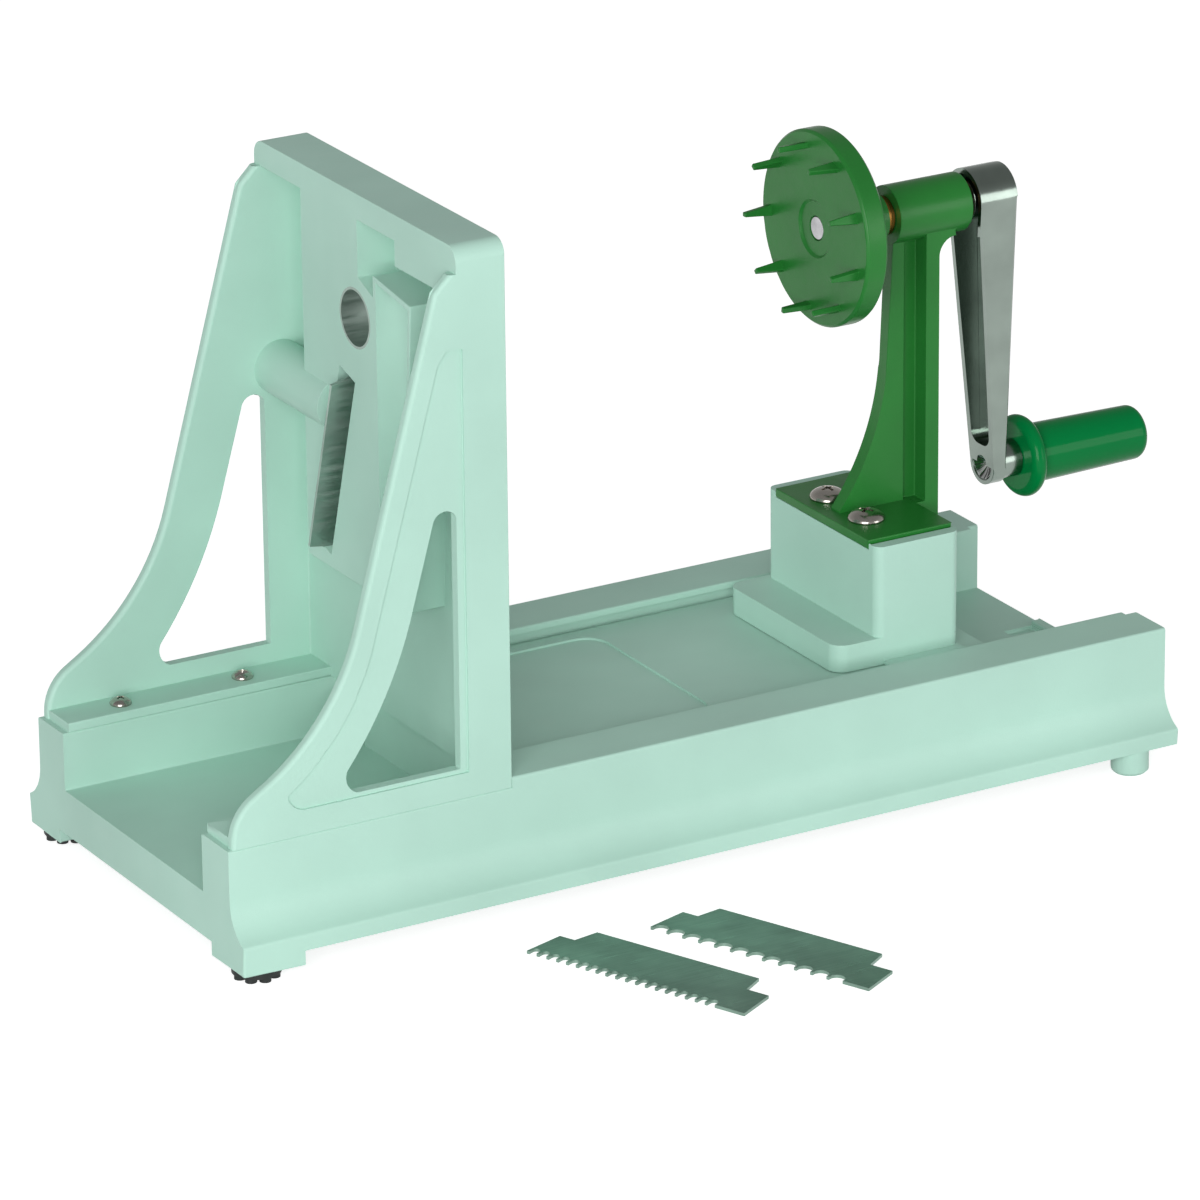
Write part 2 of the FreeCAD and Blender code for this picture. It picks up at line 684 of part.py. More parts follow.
def tower_shell():
    """The tower moulding before its round parts are joined."""
    tower = body_on("tower_shell")
    front, wall, rear = at(s.tower_front), at(WALL_FRONT), at(s.tower_rear)
    for side, low in (("far", TOWER_IN), ("near", -HALF)):
        pad(tower, "cheek_" + side, "Y", low, low + s.cheek, cheek_outline())
    round_front(tower, "cheek_rounds", s.cheek_round)
    flange = [(INNER, TOWER_IN + 1), (-TOWER_IN - 1, -INNER)]
    for side, span in zip(("far", "near"), flange):
        pad(tower, "flange_" + side, "Z", SEAT, SEAT + s.flange_thick,
            rectangle((at(s.tower_foot_front) + 0.5, rear), span))
    pad(tower, "rear_panel", "X", wall, rear, rectangle((-TOWER_IN - 1, TOWER_IN + 1),
                                                        (SEAT, s.cheek_top + 1)))
    pad(tower, "header", "X", front, rear, rectangle((-HALF, HALF), (s.cheek_top, TOWER_TOP)))
    pad(tower, "header_near", "X", front, wall + 1, rectangle(
        (-TOWER_IN - 1, -s.recess_near), (TOWER_TOP - s.header_drop, s.cheek_top + 1)))
    pad(tower, "centre_panel", "X", front, wall + 1, [
        (s.panel_far, s.cheek_top + 1), (-s.panel_near, s.cheek_top + 1),
        (-s.panel_near, AXIS + 13.5), (-s.chute_left - 0.5, AXIS + 9.5),
        (-s.chute_left - 0.5, s.panel_bottom), (s.panel_far, s.panel_bottom)])
    pad(tower, "chute", "X", front, wall + 1, chute_outline(ZERO))
    pocket(tower, "chute_hole", "X", front - 1, rear + 1, chute_outline(s.chute_wall))
    body_start, body_end = comb_span()
    pocket(tower, "comb_mouth", "X", front - 1, front + s.slot_depth,
           radial_slot(body_start - 3, body_end + 1, s.slot_width / 2))
    slit = s.comb_thick / 2 + s.running_gap * 2
    tab_back = rear + s.comb_proud - s.comb_tab - s.running_gap * 2
    pocket(tower, "comb_slit", "X", front - 1, rear + 1,
           radial_slot(body_start - 2.2, body_end + 1.7, slit))
    pocket(tower, "comb_tabs", "X", tab_back, rear + 1,
           radial_slot(s.comb_start - 0.2, s.comb_start + s.comb_length + 0.2, slit))
    for side, low, high in (("far", TOWER_IN - 1, HALF + 1), ("near", -HALF - 1, 1 - TOWER_IN)):
        pocket(tower, "window_" + side, "Y", low, high, window_outline())
    for side, low, high in (("far", HALF - s.panel_depth, HALF + 1),
                            ("near", -HALF - 1, s.panel_depth - HALF)):
        pocket(tower, "panel_" + side, "Y", low, high, panel_outline())
    round_body(tower, "header_round", s.header_radius,
               [{"y": HALF, "z": TOWER_TOP}, {"y": -HALF, "z": TOWER_TOP}])
    return tower


def blade_tower():
    """The tower with its clamp boss, core bore and screw holes."""
    tower = tower_shell()
    clamp = (at(s.clamp_x), s.clamp_height)
    boss = rod("clamp_boss", "Y", clamp, s.clamp_boss, s.clamp_end, TOWER_IN + 1)
    in_slot = clamp_tip()
    bores = [
        rod("core_bore", "X", (ZERO, AXIS), RING_OUT, at(s.tower_front) - 3,
            at(s.tower_rear) + 1),
        rod("clamp_bore", "Y", clamp, s.clamp_shank + s.face_gap, in_slot, HALF + 1),
        rod("insert_seat", "Y", clamp, s.clamp_shank + s.insert_wall,
            HALF - s.insert_length, HALF + 1),
    ]
    for side, sign in (("near", -1), ("far", 1)):
        for place_name, distance in (("front", s.tower_screw_front), ("back", s.tower_screw_back)):
            bores.append(rod("flange_bore_" + side + "_" + place_name, "Z",
                             (at(distance), sign * SCREW_SIDE),
                             s.tower_screw_shank, SEAT - 1, SEAT + s.flange_thick + 1))
    for index, spot in enumerate(blade_screw_spots()):
        bores.append(rod("blade_pilot_" + str(index), "X", spot, s.blade_screw_shank,
                         at(s.tower_rear) - 7, at(s.tower_rear) + 1))
    return cut("tower_bored", fuse("tower_joined", tower, boss), *bores)


def coring_ring():
    """The thin steel tube in the core hole, sharp towards the vegetable."""
    ring = body_on("coring_ring_body", z=AXIS)
    front = at(s.tower_front)
    tip = at(s.tower_rear) + s.ring_proud
    revolve(ring, "coring_tube", [
        (front, s.ring_bore), (tip, s.ring_bore), (tip, s.ring_bore + 0.15),
        (tip - s.ring_proud / 2, RING_OUT), (front, RING_OUT)])
    return ring


# ---------------------------------------------------------------- blades
def comb_blade(name, pitch, turn=None):
    """A comb blade in its own plane: length along X, teeth down to Y = 0."""
    blade = body_on(name, turn=turn)
    length, tab, height = s.comb_length, s.comb_tab, s.comb_height
    body_end = s.comb_lead + s.comb_body
    pad(blade, name + "_plate", "Z", ZERO, s.comb_thick, [
        (ZERO, ZERO), (length, ZERO), (length - 1.5, tab), (body_end + 1.5, tab),
        (body_end, height), (s.comb_lead, height), (s.comb_lead - 2, tab), (1.5, tab)])
    gap = pitch - s.comb_tooth
    start = s.comb_tooth
    depth = s.comb_gap_depth
    half = gap / 2
    first = pocket(blade, name + "_gap", "Z", -1, s.comb_thick + 1, [
        (start, -1), (start + gap, -1), (start + gap, depth - half * 0.7, (half * 1.05, "left")),
        (start, depth - half * 0.7)])
    count = max(int((length.value - s.comb_lead.value) / pitch.value), 2)
    row = blade.newObject("PartDesign::LinearPattern", name + "_gaps")
    row.Originals = [first]
    row.Direction = (origin_feature(blade, "X_Axis"), [""])
    bind(row, "Length", pitch * (count - 1))
    row.Occurrences = count
    blade.Tip = row
    return blade


def comb_in_tower():
    """The medium comb blade, on edge in the radial slot."""
    blade = comb_blade("comb_medium_body", s.medium_pitch)
    turn = FreeCAD.Rotation(FreeCAD.Vector(1, 0, 0), s.comb_angle.value)
    stand = FreeCAD.Rotation(FreeCAD.Matrix(
        0, -1, 0, 0,
        0, 0, 1, 0,
        -1, 0, 0, 0,
        0, 0, 0, 1))
    blade.Placement = FreeCAD.Placement(FreeCAD.Vector(), turn * stand)
    bind(blade, "Placement.Rotation.Angle", Size(
        blade.Placement.Rotation.Angle, repr(math.degrees(blade.Placement.Rotation.Angle))))
    across, up = radial(s.comb_start, -(s.comb_thick / 2))
    place(blade, at(s.tower_rear) + s.comb_proud, across, up)
    return blade


def spare_comb(name, pitch, x, back):
    """A spare comb blade, flat on the table, its last corner back from the set's side."""
    turn = FreeCAD.Rotation(FreeCAD.Vector(0, 0, 1), s.spare_turn.value)
    blade = comb_blade(name, pitch, turn)
    sine = tangent(s.spare_turn) * cosine(s.spare_turn)
    place(blade, at(x) + s.comb_tab * sine, back - s.spare_reach - s.comb_length * sine, ZERO)
    return blade


def blade_screw_spots():
    """(Y, Z) of the two screws of the slicing blade."""
    return [(-s.blade_screw_side, AXIS - s.blade_screw_drop),
            (s.blade_screw_side, s.blade_bottom + s.blade_screw_rise)]


def slicing_blade():
    """The straight blade on the rear face, notched round the coring ring."""
    blade = body_on("slicing_blade_body")
    rear = at(s.tower_rear)
    back = rear + s.blade_thick
    lean = s.slot_width / 2
    high = radial(RING_OUT + 10, -lean)
    low = radial((AXIS - s.blade_bottom) / cosine(s.comb_angle) - 2, -lean)
    pad(blade, "slicing_plate", "X", rear, back, [
        (-s.blade_edge, s.blade_bottom), (low[0], s.blade_bottom), high,
        (-s.chute_left + 0.6, AXIS - 12), (-s.chute_left + 0.6, s.blade_top),
        (-s.blade_edge, s.blade_top)])
    bevel = s.blade_bevel
    pocket(blade, "slicing_bevel", "Z", s.blade_bottom - 1, s.blade_top + 1, [
        (rear - 1, -s.blade_edge - 1), (rear + bevel, -s.blade_edge - 1),
        (rear + bevel, -s.blade_edge), (rear, -s.blade_edge + bevel * 2), (rear - 1,
                                                                        -s.blade_edge + bevel * 2)])
    holes = []
    for index, spot in enumerate(blade_screw_spots()):
        holes.append(rod("blade_sink_" + str(index), "X", spot, s.blade_screw_shank, rear - 0.01,
                         back, top_radius=s.blade_screw_head))
    return cut("slicing_blade_sunk", blade, *holes)


def blade_screws():
    """Countersunk screws, flush with the blade."""
    screws = []
    rear = at(s.tower_rear)
    for index, spot in enumerate(blade_screw_spots()):
        name = "blade_screw_" + str(index)
        head = rod(name + "_head", "X", spot, s.blade_screw_shank, rear, rear + s.blade_thick,
                   top_radius=s.blade_screw_head)
        shank = rod(name + "_shank", "X", spot, s.blade_screw_shank, rear - 6, rear)
        slot = box(name + "_slot", (rear + s.blade_thick * 0.6, rear + s.blade_thick + 1),
                   (spot[0] - 0.35, spot[0] + 0.35), (spot[1] - 3, spot[1] + 3))
        screws.append(cut(name, fuse(name + "_solid", head, shank), slot))
    return group("blade_screw_pair", *screws)


# ---------------------------------------------------------------- clamp screw
def clamp_tip():
    """Y of the comb's clamped face at the height of the clamp screw."""
    drop = AXIS - s.clamp_height
    return drop * tangent(s.comb_angle) + (s.comb_thick / 2) / cosine(s.comb_angle)


def clamp_screw():
    """The steel screw that holds the comb blade."""
    clamp = (at(s.clamp_x), s.clamp_height)
    nose = s.clamp_shank * 0.5
    point = clamp_tip() + nose * tangent(s.comb_angle) + s.face_gap
    tip = rod("clamp_tip", "Y", clamp, nose, point, point + 1.5,
              top_radius=s.clamp_shank - s.running_gap)
    stem = rod("clamp_stem", "Y", clamp, s.clamp_shank - s.running_gap, point + 1.5,
               HALF + s.face_gap + s.clamp_knob_length - 3)
    return fuse("clamp_screw_solid", tip, stem)


def clamp_knob():
    """The lobed knob on the clamp screw."""
    turn = FreeCAD.Rotation(FreeCAD.Vector(0, 0, 1), 90)
    knob = body_on("clamp_knob_body", at(s.clamp_x), ZERO, s.clamp_height, turn)
    near = HALF + s.face_gap
    end = near + s.clamp_knob_length
    bore = s.clamp_shank
    revolve(knob, "clamp_knob_disc", [
        (near, bore), (near, s.clamp_knob * 0.62), (near + 3, s.clamp_knob * 0.62),
        (near + 4, s.clamp_knob - 0.8), (near + 5, s.clamp_knob), (end - 1.2, s.clamp_knob),
        (end, s.clamp_knob - 1.4), (end, ZERO), (end - 3, ZERO), (end - 3, bore)])
    grip = pocket(knob, "clamp_knob_flute", "X", near + 3.2, end + 1,
                  Disc(s.clamp_grip, s.clamp_knob + s.clamp_grip * 0.45, ZERO))
    around(knob, "clamp_knob_flutes", grip, 8)
    return knob


def clamp_insert():
    """The threaded brass insert in the clamp boss."""
    insert = body_on("clamp_insert_body", at(s.clamp_x), ZERO, s.clamp_height,
                     FreeCAD.Rotation(FreeCAD.Vector(0, 0, 1), 90))
    outer = s.clamp_shank + s.insert_wall
    revolve(insert, "insert_sleeve", [
        (HALF - s.insert_length, s.clamp_shank), (HALF, s.clamp_shank), (HALF, outer),
        (HALF - s.insert_length, outer)])
    return insert


# ---------------------------------------------------------------- carriage
def carriage():
    """The sliding carriage: step plate, block, wings and hooks."""
    moving = body_on("carriage_shell")
    deck = s.deck_top + s.slide_gap
    half = plate = s.carriage_width / 2
    front, back = at(s.carriage_front), at(s.block_back)
    block = at(s.block_front)
    pad(moving, "step_plate", "Z", deck, s.plate_top, rectangle((front, back), (-plate, plate)))
    pad(moving, "block", "Z", s.plate_top - 1, s.block_top,
        rectangle((block, back), (-half, half)))
    round_body(moving, "block_corners", s.block_round, [
        {"x": block, "y": half}, {"x": block, "y": -half},
        {"x": back, "y": half}, {"x": back, "y": -half}])
    round_body(moving, "plate_corners", s.plate_round, [
        {"x": front, "y": plate}, {"x": front, "y": -plate}])
    seat = half - s.pocket_rim
    pocket(moving, "bracket_pocket", "Z", s.block_top - s.pocket_depth, s.block_top + 1,
           rectangle((block - 1, back + 1), (-seat, seat)))
    thick = s.wall
    pocket(moving, "block_hollow", "Z", deck - 1, s.block_top - s.pocket_depth - 2 * thick,
           rectangle((block + thick, back - thick), (thick - half, half - thick)))
    hook_out = INNER - s.slide_gap
    hook_in = hook_out - s.hook_thick
    hook_top = DECK_UNDER - s.slide_gap
    wing = (at(s.wing_front), back)
    for side, sign in (("far", 1), ("near", -1)):
        def span(low, high):
            return (low, high) if sign > 0 else (-high, -low)
        pad(moving, "wing_" + side, "Z", deck, deck + s.wing_thick,
            rectangle(wing, span(plate - 2, hook_out)))
        pad(moving, "hook_leg_" + side, "Z", hook_top - s.hook_foot, deck + s.wing_thick,
            rectangle(wing, span(hook_in, hook_out)))
        pad(moving, "hook_foot_" + side, "Z", hook_top - s.hook_foot, hook_top,
            rectangle(wing, span(hook_out - s.hook_reach, hook_out)))
    bosses = []
    bores = []
    for side, sign in (("far", 1), ("near", -1)):
        spot = (at(s.bracket_screw_x), sign * s.bracket_screw_side)
        low = s.block_top - s.pocket_depth - s.bracket_screw_length - 2
        bosses.append(rod("bracket_boss_" + side, "Z", spot, s.bracket_screw_shank + s.boss_wall,
                          low, s.block_top - s.pocket_depth - thick))
        bores.append(rod("bracket_boss_bore_" + side, "Z", spot, s.bracket_screw_shank,
                         low, s.block_top))
    return cut("carriage_bored", fuse("carriage_joined", moving, *bosses), *bores)


def crank_bracket():
    """The green bracket: base plate, gusset web, rear flange, heel and bearing tube."""
    bracket = body_on("bracket_shell")
    bottom = s.block_top - s.pocket_depth
    top = bottom + s.bracket_plate
    seat = s.carriage_width / 2 - s.pocket_rim - 0.2
    back = at(s.flange_back)
    front = at(s.flange_front)
    web = s.bracket_web / 2
    flange = s.bracket_flange / 2
    pad(bracket, "bracket_base", "Z", bottom, top,
        rectangle((at(s.block_front), at(s.block_back)), (-seat, seat)))
    pad(bracket, "gusset", "Y", -web, web, [
        (front - s.gusset_reach, top - 0.5), (front + 1, top - 0.5), (front + 1, AXIS),
        (front - s.gusset_neck + 2.5, AXIS),
        (front - s.gusset_neck, s.gusset_height, (s.gusset_radius, "right")),
        (front - s.gusset_reach, top + 0.5)])
    pad(bracket, "rear_flange", "Z", top - 1, AXIS,
        rectangle((front, back), (-flange, flange)))
    thin = s.groove_web / 2
    for side, low, high in (("far", thin, web + 1), ("near", -web - 1, -thin)):
        pocket(bracket, "column_groove_" + side, "Y", low, high,
               rectangle((at(s.groove_front), front), (top, AXIS - s.tube_radius * 0.9)))
    low = AXIS - s.tube_radius - s.saddle_radius + 1
    pad(bracket, "tube_saddle", "Y", -flange, flange, [
        (back - 1, low), (back, low, (s.saddle_radius * 1.02, "right")),
        (back + s.saddle_radius, low + s.saddle_radius), (back + s.saddle_radius, AXIS - 2),
        (back - 1, AXIS - 2)])
    pad(bracket, "heel", "Z", s.heel_bottom, top,
        rectangle((at(s.block_back) + 0.2, back), (-flange, flange)))
    tube = rod("bearing_tube", "X", (ZERO, AXIS), s.tube_radius, at(s.tube_front),
               at(s.tube_back))
    bush = s.shaft_radius + s.bush_wall
    tools = [rod("tube_bore", "X", (ZERO, AXIS), s.shaft_radius + s.bush_wall / 2,
                 at(s.tube_front) - 1, at(s.tube_back) + 1),
             rod("front_bush_seat", "X", (ZERO, AXIS), bush, at(s.tube_front) - 1,
                 at(s.tube_front) + s.bush_length),
             rod("rear_bush_seat", "X", (ZERO, AXIS), bush, at(s.tube_back) - s.bush_length,
                 at(s.tube_back) + 1)]
    for side, sign in (("far", 1), ("near", -1)):
        tools.append(rod("bracket_hole_" + side, "Z",
                         (at(s.bracket_screw_x), sign * s.bracket_screw_side),
                         s.bracket_screw_shank, bottom - 1, top + 1))
    return cut("bracket_bored", fuse("bracket_joined", bracket, tube), *tools)


def bush(name, low):
    """A plain bearing bush in the tube."""
    sleeve = body_on(name + "_body", z=AXIS)
    inner = s.shaft_radius + s.running_gap
    outer = s.shaft_radius + s.bush_wall
    revolve(sleeve, name + "_sleeve", [
        (low, inner), (low + s.bush_length, inner), (low + s.bush_length, outer), (low, outer)])
    return sleeve


# ---------------------------------------------------------------- turning parts
def crank_shaft():
    """The shaft from the food holder to the crank arm."""
    start = at(s.holder_front) + 1
    end = at(s.arm_back) + 1.2
    shaft = body_on("crank_shaft_body", z=AXIS)
    radius = s.shaft_radius
    revolve(shaft, "shaft_turned", [
        (start, ZERO), (end, ZERO), (end, radius * 0.9), (end - 1.18, radius * 1.35),
        (end - 1.18, radius), (start + 0.5, radius), (start, radius - 0.5)])
    return shaft


def food_holder():
    """The round holder with its ring of prongs."""
    turn = FreeCAD.Rotation(FreeCAD.Vector(1, 0, 0), s.prong_phase.value)
    holder = body_on("food_holder_body", z=AXIS, turn=turn)
    front = at(s.holder_front)
    back = front + s.holder_thick
    web = front + s.holder_web
    hub_end = at(s.tube_front) - s.face_gap - 2.6
    rim_in = s.holder_radius - s.holder_rim
    bore = s.shaft_radius + s.seat_gap
    revolve(holder, "holder_turned", [
        (front + 0.8, bore), (front + 0.8, s.holder_hub), (front, s.holder_hub + 0.8),
        (front, s.holder_radius - 0.8), (front + 0.8, s.holder_radius),
        (back - 0.8, s.holder_radius), (back, s.holder_radius - 0.8), (back, rim_in),
        (web, rim_in - 0.6), (web, s.holder_hub), (hub_end, s.holder_hub - 1), (hub_end, bore)])
    low = s.prong_circle - s.prong_thick / 2
    tip = front - s.prong_length
    prong = pad(holder, "prong", "Z", low, low + s.prong_thick, [
        (front + 0.5, -s.prong_width / 2), (front + 0.5, s.prong_width / 2),
        (tip, s.prong_tip / 2), (tip, -s.prong_tip / 2)])
    around(holder, "prongs", prong, s.prong_count)
    return holder


def holder_collar():
    """The brass collar between holder and bearing tube."""
    collar = body_on("holder_collar_body", z=AXIS)
    end = at(s.tube_front) - s.face_gap
    start = end - 2.6
    radius = s.collar_radius
    revolve(collar, "collar_turned", [
        (start, s.shaft_radius + s.seat_gap), (end, s.shaft_radius + s.seat_gap), (end, radius),
        (start, radius)])
    return collar


def arm_outline(inset, floor=None):
    """The tapering arm with round ends, seen along the shaft.

    A floor gives the height at which the outline ends flat over the foot.
    """
    neck = s.arm_neck - inset
    foot = s.arm_foot - inset
    low = AXIS - s.arm_length
    top = [(neck, AXIS, (neck, "left")), (ZERO, AXIS + neck, (neck, "left")), (-neck, AXIS)]
    if floor is None:
        return [(-foot, low, (foot, "left")), (ZERO, low - foot, (foot, "left")),
                (foot, low)] + top
    return [(-foot, floor), (foot, floor)] + top


def crank_arm():
    """The cast arm: an open channel towards the holder, with shaft boss and knob boss."""
    arm = body_on("arm_shell")
    front = at(s.tube_back) + s.arm_gap
    back = at(s.arm_back)
    low = AXIS - s.arm_length
    low_front, low_back = at(s.arm_low_front), at(s.arm_low_back)
    side = s.arm_neck + 2
    top, bottom = AXIS + s.arm_neck + 1, low - s.arm_foot - 1
    pad(arm, "arm_solid", "X", front, back, arm_outline(ZERO))
    pocket(arm, "arm_back_slope", "Y", -side, side, [
        (back, AXIS), (low_back, low), (low_back, bottom), (back + 2, bottom), (back + 2, AXIS)])
    pocket(arm, "arm_front_slope", "Y", -side, side, [
        (front - 1, AXIS - s.arm_neck), (at(s.arm_front), AXIS - s.arm_neck), (low_front, low),
        (low_front, bottom), (front - 1, bottom)])
    pocket(arm, "arm_channel", "X", front - 1, low_back - s.arm_web,
           arm_outline(s.arm_wall, low + s.arm_sink + 1))
    shaft_boss = rod("arm_shaft_boss", "X", (ZERO, AXIS), s.arm_shaft_boss, front,
                     back - s.arm_web / 2)
    boss = rod("arm_boss", "X", (ZERO, low), s.arm_boss, low_back - 0.8, at(s.arm_boss_end))
    sink = rod("axle_sink", "X", (ZERO, low), s.arm_sink, low_front,
               low_front + s.arm_sink_deep, top_radius=s.axle_radius + s.seat_gap)
    bores = [rod("arm_axle_bore", "X", (ZERO, low), s.axle_radius + s.seat_gap, low_front - 3,
                 at(s.arm_boss_end) + 1),
             rod("arm_shaft_bore", "X", (ZERO, AXIS), s.shaft_radius + s.seat_gap, front - 1,
                 back + 1)]
    return cut("arm_bored", fuse("arm_bossed", arm, shaft_boss, boss), sink, *bores)


def knob_axle():
    """The knob's axle, its end spread to a hollow cone in the arm."""
    axle = body_on("knob_axle_body", z=AXIS - s.arm_length)
    front = at(s.arm_low_front)
    deep = front + s.arm_sink_deep - s.seat_gap
    radius = s.axle_radius
    slope = s.arm_sink_deep / (s.arm_sink - radius - s.seat_gap)
    mouth = deep - slope * (s.axle_head - radius)
    revolve(axle, "axle_turned", [
        (deep, ZERO), (at(s.axle_end), ZERO), (at(s.axle_end), radius - 0.6),
        (at(s.axle_end) - 0.6, radius), (deep, radius),
        (mouth, s.axle_head), (mouth - 0.1, s.axle_head - 0.3), (deep - 0.1, radius * 0.25)])
    return axle


def knob():
    """The grip with its rounded flange."""
    grip = body_on("knob_body", z=AXIS - s.arm_length)
    front, back = at(s.knob_front), at(s.knob_back)
    bore = s.axle_radius + s.running_gap
    flange_end = front + s.knob_flange_thick
    half = s.knob_flange_thick / 2
    end_round = s.knob_end_round
    revolve(grip, "knob_turned", [
        (front, bore), (front, s.knob_flange - half, (half, "right")),
        (front + half, s.knob_flange, (half, "right")),
        (flange_end, s.knob_flange - half), (flange_end, s.knob_radius + 0.4),
        (flange_end + 0.8, s.knob_radius), (back - end_round, s.knob_tail, (end_round, "right")),
        (back, s.knob_tail - end_round), (back, ZERO), (at(s.axle_end) + 1, ZERO),
        (at(s.axle_end) + 1, bore)])
    return grip


# ---------------------------------------------------------------- the assembly
def tower_screws():
    """The four screws of the tower's foot flanges."""
    screws = []
    for side, sign in (("near", -1), ("far", 1)):
        for place_name, distance in (("front", s.tower_screw_front), ("back", s.tower_screw_back)):
            screws.append(pan_screw(
                "tower_screw_" + side + "_" + place_name,
                (at(distance), sign * SCREW_SIDE), SEAT + s.flange_thick,
                s.tower_screw_head, s.tower_screw_dome, s.tower_screw_shank,
                s.tower_screw_length))
    return group("tower_screw_set", *screws)


def bracket_screws():
    """The two screws of the crank bracket."""
    seat = s.block_top - s.pocket_depth + s.bracket_plate
    screws = [pan_screw("bracket_screw_" + side,
                        (at(s.bracket_screw_x), sign * s.bracket_screw_side), seat,
                        s.bracket_screw_head, s.bracket_screw_dome, s.bracket_screw_shank,
                        s.bracket_screw_length)
              for side, sign in (("far", 1), ("near", -1))]
    return group("bracket_screw_pair", *screws)


node("base_tray", tray_details(base_tray()))
for foot_side, foot_sign in (("near", -1), ("far", 1)):
    node("front_foot_" + foot_side, rubber_foot(foot_side, foot_sign))
node("foot_screws", group("foot_screw_pair", foot_screw("near", -1), foot_screw("far", 1)))
node("blade_tower", blade_tower())
node("tower_screws", tower_screws())
node("coring_ring", coring_ring())
node("slicing_blade", slicing_blade())
node("slicing_blade_screws", blade_screws())
node("comb_blade_medium", comb_in_tower())
node("clamp_screw", clamp_screw())
node("clamp_knob", clamp_knob())
node("clamp_insert", clamp_insert())
node("carriage", carriage())
node("crank_bracket", crank_bracket())
node("bracket_screws", bracket_screws())
node("front_bush", bush("front_bush", at(s.tube_front)))
node("rear_bush", bush("rear_bush", at(s.tube_back) - s.bush_length))
node("crank_shaft", crank_shaft())
node("food_holder", food_holder())
node("holder_collar", holder_collar())
node("crank_arm", crank_arm())
node("knob_axle", knob_axle())
node("knob", knob())
node("spare_comb_fine", spare_comb("comb_fine_body", s.fine_pitch, s.spare_fine_x,
                                   s.spare_fine_back))
node("spare_comb_coarse", spare_comb("comb_coarse_body", s.coarse_pitch, s.spare_coarse_x,
                                     ZERO))

# ---------------------------------------------------------------- check and write
doc.recompute()
faults = [obj.Name for obj in doc.Objects if {"Invalid", "Error"} & set(obj.State)]
for part in NODES:
    if part.Shape.isNull() or not part.Shape.isValid() or not part.Shape.Solids:
        faults.append(part.Label + " has no valid shape")
if faults:
    raise RuntimeError("failed: " + ", ".join(faults))
os.makedirs("parts", exist_ok=True)
for part in NODES:
    part.Shape.exportStep("parts/" + part.Label + ".step")
    extent = part.Shape.BoundBox
    print(part.Label, len(part.Shape.Solids), "solid(s)", round(part.Shape.Volume), "mm3",
          [round(v, 1) for v in (extent.XMin, extent.XMax, extent.YMin, extent.YMax,
                                 extent.ZMin, extent.ZMax)])
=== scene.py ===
"""Looks of a hand cranked spiral vegetable slicer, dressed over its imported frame.

The CAD nodes carry the machine's shapes.  This file gives them their finishes and soft
moulded edges, adds the pieces that need finer modelling, and sets camera, light and floor.
"""
import logging
import math
from collections.abc import Callable
from dataclasses import dataclass
from enum import Enum
from functools import cache

import bmesh
import bpy
from mathutils import Matrix, Vector


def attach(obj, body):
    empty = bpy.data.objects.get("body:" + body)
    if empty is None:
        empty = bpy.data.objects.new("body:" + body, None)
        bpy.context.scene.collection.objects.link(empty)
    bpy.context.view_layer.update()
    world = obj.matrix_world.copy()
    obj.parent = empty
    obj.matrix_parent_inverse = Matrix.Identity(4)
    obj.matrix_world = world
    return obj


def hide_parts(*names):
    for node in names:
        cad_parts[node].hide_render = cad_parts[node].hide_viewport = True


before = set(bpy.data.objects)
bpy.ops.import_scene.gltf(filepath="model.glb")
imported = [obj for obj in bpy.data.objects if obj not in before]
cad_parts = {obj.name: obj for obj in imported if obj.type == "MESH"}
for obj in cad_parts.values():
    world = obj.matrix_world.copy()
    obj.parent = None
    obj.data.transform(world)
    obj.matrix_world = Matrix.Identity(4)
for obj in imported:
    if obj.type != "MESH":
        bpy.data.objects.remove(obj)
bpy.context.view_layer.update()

LOG = logging.getLogger("spiral_slicer")
Triple = tuple[float, float, float]
Span = tuple[float, float]

# MM turns millimetres into metres.  The three lengths under it are in millimetres: the
# machine's middle plane, and the heights of the crank's shaft and of the knob at its lowest.
MM = 0.001
MIDDLE = 45.85
CRANK_HEIGHT = 173.5
KNOB_HEIGHT = 84.9
ANY: Span = (-math.inf, math.inf)


def linear(colour: Triple) -> tuple[float, float, float, float]:
    """Turn a display colour into the linear one that shaders work in.

    Args:
        colour: red, green and blue from 0 to 1, as a screen shows them.

    Returns:
        The same colour in linear light, with full alpha.
    """
    def channel(value: float) -> float:
        """One channel in linear light."""
        return value / 12.92 if value <= 0.04045 else ((value + 0.055) / 1.055) ** 2.4
    red, green, blue = (channel(value) for value in colour)
    return red, green, blue, 1.0


def tint(colour: Triple, amount: float) -> Triple:
    """A display colour made lighter (amount above 0) or darker (below 0)."""
    return tuple(min(1.0, max(0.0, value * (1.0 + amount))) for value in colour)


class Axis(Enum):
    """The machine's three directions."""

    X = Vector((1.0, 0.0, 0.0))
    Y = Vector((0.0, 1.0, 0.0))
    Z = Vector((0.0, 0.0, 1.0))


